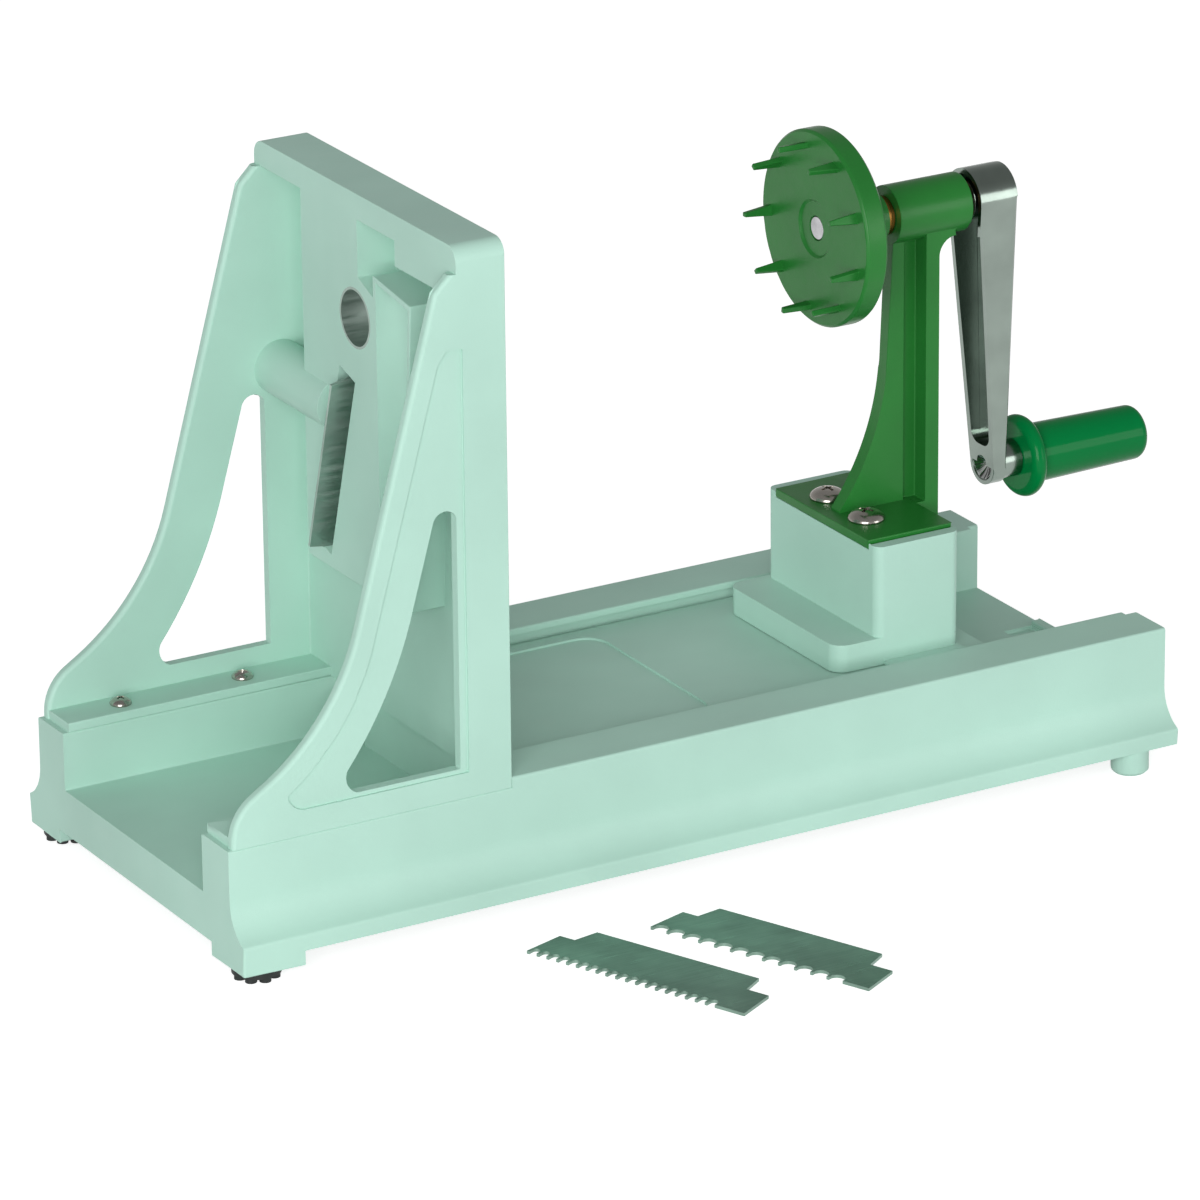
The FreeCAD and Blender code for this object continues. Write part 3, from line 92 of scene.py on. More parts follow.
# ---------------------------------------------------------------- shader writing
class Shader:
    """A material's node tree, with short ways to add nodes and join them."""

    def __init__(self, name: str) -> None:
        """Start a material with a principled surface and object coordinates.

        Args:
            name: the material's name.
        """
        self.material = bpy.data.materials.new(name)
        self.material.use_nodes = True
        self.tree = self.material.node_tree
        self.tree.nodes.clear()
        self.output = self.add("OutputMaterial")
        self.surface = self.add("BsdfPrincipled")
        self.join(self.surface.outputs["BSDF"], self.output.inputs["Surface"])
        self.place = self.add("TexCoord").outputs["Object"]

    def add(self, kind: str, **settings: object) -> bpy.types.Node:
        """Add a node.

        Args:
            kind: the node's type without its ShaderNode prefix.
            **settings: properties of the node.

        Returns:
            The new node.
        """
        node = self.tree.nodes.new("ShaderNode" + kind)
        for key, value in settings.items():
            setattr(node, key, value)
        return node

    def join(self, source: bpy.types.NodeSocket, target: bpy.types.NodeSocket) -> None:
        """Link an output to an input."""
        self.tree.links.new(source, target)

    def set(self, **values: object) -> None:
        """Set plain values on the surface's own sockets, with underscores for spaces."""
        for key, value in values.items():
            self.surface.inputs[key.replace("_", " ")].default_value = value

    def noise(self, scale: float, detail: float = 2.0, stretch: Triple = (1.0, 1.0, 1.0),
              turn: float = 0.0) -> bpy.types.NodeSocket:
        """A noise pattern fixed to the piece.

        Args:
            scale: how many features there are in a metre.
            detail: how many finer layers it has.
            stretch: how much the pattern is squeezed along each axis.
            turn: turn of the pattern about Z, in radians.

        Returns:
            The noise's factor output.
        """
        mapping = self.add("Mapping")
        mapping.inputs["Scale"].default_value = stretch
        mapping.inputs["Rotation"].default_value = (0.0, 0.0, turn)
        self.join(self.place, mapping.inputs["Vector"])
        noise = self.add("TexNoise")
        noise.inputs["Scale"].default_value = scale
        noise.inputs["Detail"].default_value = detail
        self.join(mapping.outputs["Vector"], noise.inputs["Vector"])
        return noise.outputs["Fac"]

    def spread(self, source: bpy.types.NodeSocket, low: float, high: float,
               start: float = 0.3, end: float = 0.7) -> bpy.types.NodeSocket:
        """Map a factor from one range to another.

        Args:
            source: the factor.
            low: the result at start.
            high: the result at end.
            start: the factor that gives low.
            end: the factor that gives high.

        Returns:
            The mapped value.
        """
        node = self.add("MapRange", clamp=True)
        for key, value in (("From Min", start), ("From Max", end), ("To Min", low),
                           ("To Max", high)):
            node.inputs[key].default_value = value
        self.join(source, node.inputs["Value"])
        return node.outputs["Result"]

    def blend(self, factor: bpy.types.NodeSocket, first: Triple,
              second: Triple) -> bpy.types.NodeSocket:
        """Mix two display colours by a factor.

        Args:
            factor: 0 gives the first colour and 1 the second.
            first: a display colour.
            second: a display colour.

        Returns:
            The mixed colour.
        """
        node = self.add("Mix", data_type="RGBA")
        node.inputs[6].default_value = linear(first)
        node.inputs[7].default_value = linear(second)
        self.join(factor, node.inputs["Factor"])
        return node.outputs[2]

    def mottle(self, pattern: bpy.types.NodeSocket, colour: Triple, darker: float,
               lighter: float) -> None:
        """Let the surface's colour wander with a pattern.

        Args:
            pattern: the factor that it follows.
            colour: the display colour in the middle.
            darker: the share by which it gets darker at one end.
            lighter: the share by which it gets lighter at the other.
        """
        self.join(self.blend(self.spread(pattern, 0.0, 1.0), tint(colour, -darker),
                             tint(colour, lighter)), self.surface.inputs["Base Color"])

    def gloss(self, pattern: bpy.types.NodeSocket, roughness: float, share: float) -> None:
        """Let the surface's roughness wander with a pattern by a share of itself.

        Args:
            pattern: the factor that it follows.
            roughness: the roughness in the middle.
            share: how far it wanders to either side.
        """
        self.join(self.spread(pattern, roughness * (1.0 - share), roughness * (1.0 + share)),
                  self.surface.inputs["Roughness"])

    def skin(self, normal: bpy.types.NodeSocket) -> None:
        """Give the surface a bumped normal."""
        self.join(normal, self.surface.inputs["Normal"])

    def bump(self, height: bpy.types.NodeSocket, distance: float,
             under: bpy.types.NodeSocket | None = None) -> bpy.types.NodeSocket:
        """Raise the surface by a pattern.

        Args:
            height: the pattern, from 0 to 1.
            distance: its depth in metres.
            under: a normal from an earlier bump.

        Returns:
            The bumped normal.
        """
        node = self.add("Bump")
        node.inputs["Distance"].default_value = distance
        self.join(height, node.inputs["Height"])
        if under is not None:
            self.join(under, node.inputs["Normal"])
        return node.outputs["Normal"]


@dataclass(frozen=True)
class MouldedPlastic:
    """An injection moulded plastic with fine mould texture and faint clouding."""

    name: str
    colour: Triple
    roughness: float
    cloud: float = 0.03
    cloud_scale: float = 14.0
    grain_scale: float = 2600.0
    grain_depth: float = 0.00003
    shine: float = 0.4
    scuff_scale: float = 5.0
    scuff_stretch: Triple = (1.0, 2.4, 1.6)
    flow_depth: float = 6.0

    @cache
    def material(self) -> bpy.types.Material:
        """Write the material, once, and return it."""
        shader = Shader(self.name)
        clouds = shader.noise(self.cloud_scale, detail=3.0)
        shader.mottle(clouds, self.colour, self.cloud, self.cloud)
        scuffs = shader.noise(self.cloud_scale * self.scuff_scale, detail=4.0,
                              stretch=self.scuff_stretch)
        shader.gloss(scuffs, self.roughness, share=0.14)
        flow = shader.bump(clouds, self.grain_depth * self.flow_depth)
        grain = shader.noise(self.grain_scale, detail=1.0)
        shader.skin(shader.bump(grain, self.grain_depth, under=flow))
        shader.set(IOR=1.5, Specular_IOR_Level=self.shine)
        return shader.material


@dataclass(frozen=True)
class GroundSteel:
    """Thin ground blade steel with fine lines along one direction."""

    name: str
    colour: Triple
    roughness: float
    turn: float = 0.0
    stretch: Triple = (60.0, 1800.0, 60.0)
    line_depth: float = 0.00002
    stain_scale: float = 60.0

    @cache
    def material(self) -> bpy.types.Material:
        """Write the material, once, and return it."""
        shader = Shader(self.name)
        lines = shader.noise(1.0, detail=3.0, stretch=self.stretch, turn=self.turn)
        stains = shader.noise(self.stain_scale, detail=3.0)
        shader.mottle(stains, self.colour, darker=0.08, lighter=0.06)
        shader.gloss(lines, self.roughness, share=0.3)
        shader.skin(shader.bump(lines, self.line_depth))
        shader.set(Metallic=1.0)
        return shader.material


@dataclass(frozen=True)
class CastMetal:
    """A polished or plated casting, a little uneven under its shine."""

    name: str
    colour: Triple
    roughness: float
    wave_scale: float = 90.0
    wave_depth: float = 0.00012
    pit_scale: float = 1400.0
    pit_depth: float = 0.000008

    @cache
    def material(self) -> bpy.types.Material:
        """Write the material, once, and return it."""
        shader = Shader(self.name)
        waves = shader.noise(self.wave_scale)
        shader.mottle(waves, self.colour, darker=0.04, lighter=0.03)
        pits = shader.noise(self.pit_scale)
        shader.gloss(pits, self.roughness, share=0.15)
        wavy = shader.bump(waves, self.wave_depth)
        shader.skin(shader.bump(pits, self.pit_depth, under=wavy))
        shader.set(Metallic=1.0)
        return shader.material


@dataclass(frozen=True)
class TurnedMetal:
    """A turned metal part with fine rings across the crank's axis."""

    name: str
    colour: Triple
    roughness: float
    ring_stretch: Triple = (3200.0, 90.0, 90.0)
    ring_depth: float = 0.00003
    tarnish_scale: float = 160.0

    @cache
    def material(self) -> bpy.types.Material:
        """Write the material, once, and return it."""
        shader = Shader(self.name)
        rings = shader.noise(1.0, stretch=self.ring_stretch)
        tarnish = shader.noise(self.tarnish_scale, detail=3.0)
        shader.mottle(tarnish, self.colour, darker=0.14, lighter=0.08)
        shader.gloss(rings, self.roughness, share=0.25)
        shader.skin(shader.bump(rings, self.ring_depth))
        shader.set(Metallic=1.0)
        return shader.material


@dataclass(frozen=True)
class SpreadMetal:
    """A rivet end spread by a punch: radial tool marks in its roughness and bump, and bright
    and dark rays about its middle painted into its colour as painted reflection.
    """

    name: str
    bright: Triple
    dark: Triple
    height: float
    roughness: float = 0.14
    dull: float = 1.6
    ray_scale: float = 3.2
    ray_depth: float = 0.0004

    def way_out(self, shader: Shader) -> bpy.types.NodeSocket:
        """The direction from the rivet's axis to each point, as one length long."""
        centred = shader.add("VectorMath", operation="SUBTRACT")
        centred.inputs[1].default_value = (0.0, MIDDLE * MM, self.height)
        shader.join(shader.place, centred.inputs[0])
        flat = shader.add("VectorMath", operation="MULTIPLY")
        flat.inputs[1].default_value = (0.0, 1.0, 1.0)
        shader.join(centred.outputs[0], flat.inputs[0])
        way = shader.add("VectorMath", operation="NORMALIZE")
        shader.join(flat.outputs[0], way.inputs[0])
        return way.outputs[0]

    @cache
    def material(self) -> bpy.types.Material:
        """Write the material, once, and return it."""
        shader = Shader(self.name)
        rays = shader.add("TexNoise")
        rays.inputs["Scale"].default_value = self.ray_scale
        rays.inputs["Detail"].default_value = 3.0
        shader.join(self.way_out(shader), rays.inputs["Vector"])
        sharp = shader.spread(rays.outputs["Fac"], 0.0, 1.0, start=0.42, end=0.58)
        # Painted reflection: the bright and dark rays in the base colour stand in for the room
        # mirrored in the polished cone; the roughness and bump follow the real tool marks.
        shader.join(shader.blend(sharp, self.dark, self.bright),
                    shader.surface.inputs["Base Color"])
        shader.join(shader.spread(sharp, self.roughness * self.dull, self.roughness),
                    shader.surface.inputs["Roughness"])
        shader.skin(shader.bump(rays.outputs["Fac"], self.ray_depth))
        shader.set(Metallic=1.0)
        return shader.material


@dataclass(frozen=True)
class MouldedRubber:
    """Dull black rubber with a dusty, slightly rough skin."""

    name: str
    colour: Triple
    roughness: float = 0.62
    dust_scale: float = 220.0
    skin_scale: float = 1500.0
    skin_depth: float = 0.00005

    @cache
    def material(self) -> bpy.types.Material:
        """Write the material, once, and return it."""
        shader = Shader(self.name)
        dust = shader.noise(self.dust_scale, detail=4.0)
        shader.mottle(dust, self.colour, darker=0.2, lighter=0.6)
        shader.gloss(dust, self.roughness, share=0.15)
        shader.skin(shader.bump(shader.noise(self.skin_scale), self.skin_depth))
        return shader.material


MINT = MouldedPlastic("mint_plastic", (0.72, 0.87, 0.812), 0.42, shine=0.18)
LEAF_GREEN = MouldedPlastic("leaf_green_plastic", (0.145, 0.465, 0.185), 0.32, cloud=0.04,
                            cloud_scale=30.0, shine=0.25)
GRIP_GREEN = MouldedPlastic("grip_green_plastic", (0.0, 0.48, 0.235), 0.13, cloud=0.02,
                            cloud_scale=30.0, grain_depth=0.000004, shine=0.1)
KNOB_BLACK = MouldedPlastic("clamp_black_plastic", (0.06, 0.06, 0.065), 0.42)
BLADE_STEEL = GroundSteel("blade_steel", (0.66, 0.72, 0.69), 0.5)
SPARE_STEEL = GroundSteel("spare_blade_steel", (0.5, 0.6, 0.55), 0.38,
                          turn=math.radians(66.5))
BRIGHT_STEEL = CastMetal("screw_steel", (0.72, 0.70, 0.67), 0.2, wave_depth=0.00002)
ARM_CHROME = CastMetal("arm_chrome", (0.54, 0.585, 0.555), 0.19, wave_depth=0.00007,
                       pit_depth=0.000001)
BRASS = TurnedMetal("turned_brass", (0.68, 0.48, 0.24), 0.28)
# Its two colours are painted reflection: bright and dark rays on the axle's spread end.
AXLE_STEEL = SpreadMetal("axle_steel", (0.86, 0.87, 0.86), (0.3, 0.31, 0.3),
                         KNOB_HEIGHT * MM)
SHAFT_STEEL = TurnedMetal("shaft_steel", (0.75, 0.75, 0.76), 0.22)
RUBBER = MouldedRubber("foot_rubber", (0.045, 0.07, 0.065))


# ---------------------------------------------------------------- at the bench
def select_only(piece: bpy.types.Object) -> None:
    """Make one object the only selected and active one."""
    for other in bpy.context.selected_objects:
        other.select_set(False)
    piece.select_set(True)
    bpy.context.view_layer.objects.active = piece


def select_faces(piece: bpy.types.Object, test: Callable[[Vector, Vector], bool]) -> None:
    """Select the faces of the piece in edit mode whose middle and normal pass a test."""
    bpy.ops.mesh.select_mode(type="FACE")
    bpy.ops.mesh.select_all(action="DESELECT")
    shape = bmesh.from_edit_mesh(piece.data)
    for face in shape.faces:
        face.select_set(test(face.calc_center_median(), face.normal))
    bmesh.update_edit_mesh(piece.data)


def place(piece: bpy.types.Object, slot: str, body: str, *nodes: str) -> None:
    """Put a finished piece in its nodes' place and on its body."""
    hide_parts(*nodes)
    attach(piece, body)
    LOG.info("placed %s in place of %s", piece.name, ", ".join(nodes))


@dataclass(frozen=True)
class Edge:
    """What is known of a sharp edge when its rounding is chosen, in millimetres."""

    low: Vector
    high: Vector

    @property
    def middle(self) -> Vector:
        """The middle of the edge."""
        return (self.low + self.high) / 2.0

    @property
    def size(self) -> Vector:
        """How far the edge reaches along each direction."""
        return self.high - self.low

    @property
    def side(self) -> float:
        """How far its middle lies from the machine's middle plane."""
        return abs(self.middle.y - MIDDLE)

    @property
    def across(self) -> bool:
        """Whether it runs straight across the machine."""
        return max(self.size.x, self.size.z) < 0.01


EdgeRule = Callable[[Edge], float]


@dataclass(frozen=True)
class Zone:
    """A stretch of the machine in length, distance from the middle plane and height."""

    length: Span = ANY
    side: Span = ANY
    height: Span = ANY

    def holds(self, edge: Edge) -> bool:
        """Whether the middle of an edge lies in the zone."""
        places = ((edge.middle.x, self.length), (edge.side, self.side),
                  (edge.middle.z, self.height))
        return all(low < place < high for place, (low, high) in places)


class Casting:
    """A CAD node's shape as one moulding or casting, with its edges rounded by place.

    Widths are in millimetres and angles in degrees.  The shares say how much of a
    neighbouring edge a rounding may take, where that edge is rounded too and where not.
    """

    widest: float = 5.0
    merge: float = 0.002
    flat: float = 0.6
    smooth: float = 36.0
    in_line: float = 0.85
    shared: float = 0.45
    unshared: float = 0.9

    def __init__(self, node: str, name: str) -> None:
        """Copy the node's mesh, join its corners and make its flats whole.

        Args:
            node: the CAD node.
            name: the new piece's name.
        """
        self.node = node
        self.piece = bpy.data.objects.new(name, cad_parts[node].data.copy())
        self.piece.data.materials.clear()
        bpy.context.scene.collection.objects.link(self.piece)
        select_only(self.piece)
        bpy.ops.mesh.customdata_custom_splitnormals_clear()
        bpy.ops.object.mode_set(mode="EDIT")
        bpy.ops.mesh.select_all(action="SELECT")
        bpy.ops.mesh.remove_doubles(threshold=self.merge * MM)
        bpy.ops.mesh.dissolve_limited(angle_limit=math.radians(self.flat))
        bpy.ops.object.mode_set(mode="OBJECT")

    def round_edges(self, rule: EdgeRule, segments: int = 3, angle: float = 38.0) -> None:
        """Round the sharp edges, each by the width that the rule gives it.

        Args:
            rule: gives an edge's width in millimetres, 0 for an edge that stays sharp.
            segments: how many steps the rounding has.
            angle: the least angle in degrees that counts as sharp.
        """
        shape = bmesh.new()
        shape.from_mesh(self.piece.data)
        layers = shape.edges.layers.float
        weight = layers.get("bevel_weight_edge") or layers.new("bevel_weight_edge")
        sharp = {edge for edge in shape.edges if len(edge.link_faces) == 2
                 and edge.calc_face_angle() > math.radians(angle)}
        for edge in shape.edges:
            edge[weight] = 0.0
        for edge in sharp:
            ends = [vert.co / MM for vert in edge.verts]
            low = Vector(tuple(map(min, *ends)))
            high = Vector(tuple(map(max, *ends)))
            edge[weight] = min(rule(Edge(low, high)), self.room(edge, sharp)) / self.widest
        shape.to_mesh(self.piece.data)
        shape.free()
        select_only(self.piece)
        bevel = self.piece.modifiers.new("rounding", "BEVEL")
        bevel.width, bevel.segments = self.widest * MM, segments
        bevel.limit_method = "WEIGHT"
        bevel.offset_type = "ABSOLUTE"
        bevel.use_clamp_overlap = bevel.loop_slide = False
        bpy.ops.object.modifier_apply(modifier=bevel.name)

    def room(self, edge: bmesh.types.BMEdge, sharp: set[bmesh.types.BMEdge]) -> float:
        """How wide an edge's rounding can be before it runs into its neighbours.

        Args:
            edge: the edge.
            sharp: all the edges that are rounded with it.

        Returns:
            The room in millimetres.
        """
        def way(line: bmesh.types.BMEdge) -> Vector:
            """The direction of an edge."""
            return (line.verts[1].co - line.verts[0].co).normalized()
        room = math.inf
        for other in (other for vert in edge.verts for other in vert.link_edges):
            if other is not edge and abs(way(other).dot(way(edge))) <= self.in_line:
                share = self.shared if other in sharp else self.unshared
                room = min(room, other.calc_length() / MM * share)
        return room

    def finish(self, material: bpy.types.Material, slot: str, body: str) -> None:
        """Shade the piece, give it its finish and put it in the node's place.

        Args:
            material: the finish.
            slot: the record's material slot; not used.
            body: the body that the piece moves with.
        """
        select_only(self.piece)
        bpy.ops.object.mode_set(mode="EDIT")
        bpy.ops.mesh.select_all(action="SELECT")
        bpy.ops.mesh.vert_connect_concave()
        bpy.ops.object.mode_set(mode="OBJECT")
        bpy.ops.object.shade_smooth_by_angle(angle=math.radians(self.smooth))
        normals = self.piece.modifiers.new("even_shading", "WEIGHTED_NORMAL")
        normals.keep_sharp = True
        self.piece.data.materials.append(material)
        place(self.piece, slot, body, self.node)


class Turning:
    """A round piece drawn out from a disc in steps, as on a lathe."""

    squarely: float = 0.99

    def __init__(self, name: str, start: Vector, axis: Axis, steps: list[Span],
                 sides: int = 48) -> None:
        """Turn the piece.

        Args:
            name: the piece's name.
            start: the point from which the steps are measured.
            axis: the direction in which it is drawn out.
            steps: distances along the axis and the radius at each, in metres.
            sides: how many facets go round it.
        """
        (first, thick), (second, thin) = steps[:2]
        self.axis, self.start, self.first = axis.value, start, steps[0]
        bpy.ops.object.select_all(action="DESELECT")
        bpy.ops.mesh.primitive_cone_add(
            vertices=sides, radius1=thick, radius2=thin, depth=second - first,
            location=start + self.axis * (first + second) / 2.0,
            rotation=self.axis.to_track_quat("Z", "Y").to_euler())
        self.piece = bpy.context.active_object
        self.piece.name = self.piece.data.name = name
        bpy.ops.object.transform_apply(location=True, rotation=True, scale=True)
        bpy.ops.object.mode_set(mode="EDIT")
        select_faces(self.piece, lambda middle, normal: normal.dot(self.axis) > self.squarely)
        self.draw(second, thin, steps[2:])

    def draw(self, reach: float, radius: float, steps: list[Span]) -> None:
        """Draw the selected disc out or in by steps, and leave edit mode.

        Args:
            reach: how far along the axis the disc lies.
            radius: its radius.
            steps: distances along the axis and the radius at each, in metres.
        """
        for distance, width in steps:
            bpy.ops.mesh.extrude_region_move(
                TRANSFORM_OT_translate={"value": self.axis * (distance - reach)})
            bpy.ops.transform.resize(value=(width / radius,) * 3,
                                     center_override=self.start + self.axis * distance)
            reach, radius = distance, width
        bpy.ops.object.mode_set(mode="OBJECT")

    def cut(self, tool: bpy.types.Object) -> None:
        """Take a tool's shape out of the piece and put the tool away."""
        select_only(self.piece)
        knife = self.piece.modifiers.new("cut", "BOOLEAN")
        knife.object, knife.operation, knife.solver = tool, "DIFFERENCE", "EXACT"
        bpy.ops.object.modifier_apply(modifier=knife.name)
        bpy.data.objects.remove(tool)

    def hollow(self, steps: list[Span]) -> None:
        """Sink a round hollow into the face that the turning started from.

        Args:
            steps: distances along the axis and the radius at each, in metres.
        """
        select_only(self.piece)
        bpy.ops.object.mode_set(mode="EDIT")
        select_faces(self.piece, lambda middle, normal: normal.dot(self.axis) < -self.squarely)
        self.draw(*self.first, steps)

    def finish(self, material: bpy.types.Material, slot: str, body: str, node: str) -> None:
        """Shade the piece, give it its finish and put it in its node's place."""
        finish_round(self.piece, material, slot, body, node)


def finish_round(piece: bpy.types.Object, material: bpy.types.Material, slot: str, body: str,
                 node: str, angle: float = 35.0) -> None:
    """Shade a turned piece, give it its finish and put it in its node's place.

    Args:
        piece: the piece.
        material: the finish.
        slot: the record's material slot; not used.
        body: the body that the piece moves with.
        node: the CAD node that it stands for.
        angle: edges sharper than this stay sharp, in degrees.
    """
    select_only(piece)
    bpy.ops.object.shade_smooth_by_angle(angle=math.radians(angle))
    piece.data.materials.append(material)
    place(piece, slot, body, node)


def dress(node: str, material: bpy.types.Material) -> None:
    """Give a CAD node its finish.

    Args:
        node: the node's name.
        material: the finish.
    """
    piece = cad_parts[node]
    if not piece.material_slots:
        piece.data.materials.append(material)
    for slot in piece.material_slots:
        slot.material = material
    LOG.info("dressed %s with %s", node, material.name)


@dataclass(frozen=True)
class PanScrew:
    """A pan head screw with a cross recess, head up.

    Its lengths are in metres and its turns in radians.  The shares say how thick the
    shank's point is, how wide the head's seat is, how high its straight rim is, from where
    to where the recess reaches in the head's height, how wide it is across the head and
    how much of that is left at its bottom.  The dome rises in rings, and its two powers
    say how full it is in height and in width.
    """

    head: float
    dome: float
    shank: float
    length: float
    turn: float = 0.5
    next_turn: float = 0.9
    point: float = 0.5
    seat_width: float = 0.97
    rim: float = 0.14
    rings: int = 10
    fullness: Span = (1.15, 0.85)
    recess: Span = (0.3, 1.2)
    recess_size: Span = (1.02, 0.2)
    recess_foot: float = 0.4

    def wedge(self, seat: Vector, turn: float) -> bpy.types.Object:
        """One bar of the cross recess, narrower at its bottom.

        Args:
            seat: the point under the middle of the head.
            turn: its turn about the screw, in radians.

        Returns:
            The bar, as a tool to cut with.
        """
        bottom, top = (seat.z + self.dome * share for share in self.recess)
        long, wide = (self.head * share for share in self.recess_size)
        bpy.ops.object.select_all(action="DESELECT")
        bpy.ops.mesh.primitive_cube_add(size=1.0, location=(seat.x, seat.y, (top + bottom) / 2),
                                        rotation=(0.0, 0.0, turn),
                                        scale=(long, wide, top - bottom))
        bar = bpy.context.active_object
        bpy.ops.object.transform_apply(location=True, rotation=True, scale=True)
        bpy.ops.object.mode_set(mode="EDIT")
        select_faces(bar, lambda middle, normal: normal.z < -0.9)
        bpy.ops.transform.resize(value=(self.recess_foot, self.recess_foot, 1.0),
                                 center_override=(seat.x, seat.y, bottom))
        bpy.ops.object.mode_set(mode="OBJECT")
        return bar

    def model(self, name: str, seat: Vector) -> Turning:
        """Model the screw: a pointed shank, the head's flat seat and rim, and its dome.

        Args:
            name: its name.
            seat: the point under the middle of the head.

        Returns:
            The screw, before its finish.
        """
        steps = [(-self.length, self.shank * self.point),
                 (-self.length + self.shank, self.shank), (0.0, self.shank),
                 (0.0, self.head * self.seat_width), (self.dome * self.rim, self.head)]
        in_height, in_width = self.fullness
        for ring in range(1, self.rings + 1):
            angle = math.radians(90.0 * ring / (self.rings + 0.5))
            rise = self.rim + (1.0 - self.rim) * math.sin(angle) ** in_height
            steps.append((self.dome * rise, self.head * math.cos(angle) ** in_width))
        screw = Turning(name, seat, Axis.Z, steps)
        for quarter in (0.0, math.pi / 2.0):
            screw.cut(self.wedge(seat, self.turn + quarter))
        return screw

    def set_out(self, spots: dict[str, Vector], material: bpy.types.Material, slot: str,
                body: str, node: str) -> None:
        """Model one screw, copy it to each place and put them all in the node's place.

        Args:
            spots: each screw's name and the point under its head.
            material: the finish.
            slot: the record's material slot; not used.
            body: the body that the screws move with.
            node: the CAD node that they stand for.
        """
        (first, seat), *others = spots.items()
        model = self.model(first, seat)
        for name, spot in others:
            copy = model.piece.copy()
            copy.name = name
            copy.data = model.piece.data.copy()
            bpy.context.scene.collection.objects.link(copy)
            # The length of its name gives each copy a turn of its own.
            turned = Matrix.Rotation(self.next_turn * len(name), 4, "Z")
            copy.data.transform(Matrix.Translation(spot) @ turned @ Matrix.Translation(-seat))
            finish_round(copy, material, slot, body, node)
        model.finish(material, slot, body, node)


# ---------------------------------------------------------------- the machine
class SubAssembly:
    """A group of the machine's pieces that is built and dressed together."""

    def dress_nodes(self, finishes: dict[str, bpy.types.Material]) -> None:
        """Dress each node of the table."""
        for node, material in finishes.items():
            dress(node, material)


@dataclass
class BaseTray(SubAssembly):
    """The tray, its feet and their screws.  Sizes in millimetres.

    Its edges stay sharp at the rails' step under the tower, at both ends of the slits, on
    the hidden inside and rear end of the skirt, and where the rails' rounding meets the
    front corners.
    """

    corner: float = 2.4
    edge: float = 0.6
    front: Zone = Zone((-181.0, -179.95), (62.3, 71.0), (-1.0, 40.3))
    sharp: tuple[Zone, ...] = (
        Zone((-84.8, -84.2), ANY, (40.0, 46.0)), Zone((-82.3, -80.7), ANY, (43.0, 44.3)),
        Zone((145.2, 146.8), ANY, (43.0, 44.3)), Zone(ANY, (66.0, 69.5), (-1.0, 15.7)),
        Zone((134.0, 181.0), ANY, (-1.0, 8.1)), Zone((-181.0, -176.0), (59.0, 71.0),
                                                     (39.8, 43.8)))

    def corner_rule(self, edge: Edge) -> float:
        """Wide at the front corners, up to where the rails' own rounding starts."""
        whole = edge.high.z < self.front.height[1]
        return self.corner if whole and self.front.holds(edge) else 0.0

    def edge_rule(self, edge: Edge) -> float:
        """A small rounding outside the sharp zones."""
        return 0.0 if any(zone.holds(edge) for zone in self.sharp) else self.edge

    def build(self) -> None:
        """Cast the tray and dress its feet."""
        tray = Casting("base_tray", "tray_moulding")
        tray.round_edges(self.corner_rule, segments=5)
        tray.round_edges(self.edge_rule)
        tray.finish(MINT.material(), "mint_plastic", "base")
        rubber = RUBBER.material()
        self.dress_nodes({"front_foot_near": rubber, "front_foot_far": rubber,
                          "foot_screws": BRIGHT_STEEL.material()})


@dataclass
class BladeTower(SubAssembly):
    """The tower with its blades, ring, screws and clamp.  Sizes in millimetres.

    Its edges stay sharp at the cheeks' thin toes and at the brow over their crests.
    """

    edge: float = 0.5
    rim: float = 0.3
    outside: float = 61.0
    panel_corner: float = 2.9
    panel_depth: float = 1.0
    panel: Zone = Zone((-181.0, -150.0), (61.0, 71.0), (-1.0, 60.0))
    crest: float = 3.0
    crests: Zone = Zone((-181.0, -102.0), (59.0, 71.0), (199.0, 206.0))
    sharp: tuple[Zone, ...] = (Zone((-181.0, -176.0), ANY, (-1.0, 45.0)),
                               Zone((-181.0, -101.0), (57.0, 71.0), (204.0, 206.0)))
    screw: PanScrew = PanScrew(head=3.4 * MM, dome=2.2 * MM, shank=1.5 * MM,
                               length=8.0 * MM, turn=0.3)
    screw_x: Span = (-157.0, -115.0)
    screw_y: Span = (-6.15, 97.85)
    seat: float = 44.0

    def crest_rule(self, edge: Edge) -> float:
        """Wide over the crest of each cheek, under the header's ends."""
        return self.crest if edge.across and self.crests.holds(edge) else 0.0

    def corner_rule(self, edge: Edge) -> float:
        """Wide at the corners of the shallow panels outside the cheeks."""
        shallow = edge.across and edge.size.y < self.panel_depth
        return self.panel_corner if shallow and self.panel.holds(edge) else 0.0

    def edge_rule(self, edge: Edge) -> float:
        """Finer round the cheeks' panels and windows, small elsewhere."""
        if any(zone.holds(edge) for zone in self.sharp):
            return 0.0
        return self.rim if edge.side > self.outside else self.edge

    def build(self) -> None:
        """Cast the tower, set its screws and dress what it holds."""
        tower = Casting("blade_tower", "tower_moulding")
        tower.round_edges(self.crest_rule, segments=5, angle=25.0)
        tower.round_edges(self.corner_rule, segments=5)
        tower.round_edges(self.edge_rule)
        tower.finish(MINT.material(), "mint_plastic", "base")
        steel, bright = BLADE_STEEL.material(), BRIGHT_STEEL.material()
        spots = {f"tower_screw_{side}_{end}": Vector((x, y, self.seat)) * MM
                 for side, y in zip(("near", "far"), self.screw_y)
                 for end, x in zip(("front", "back"), self.screw_x)}
        self.screw.set_out(spots, bright, "bright_steel", "base", "tower_screws")
        self.dress_nodes({
            "slicing_blade_screws": bright, "coring_ring": steel, "slicing_blade": steel,
            "comb_blade_medium": steel, "clamp_screw": bright,
            "clamp_knob": KNOB_BLACK.material(), "clamp_insert": BRASS.material()})


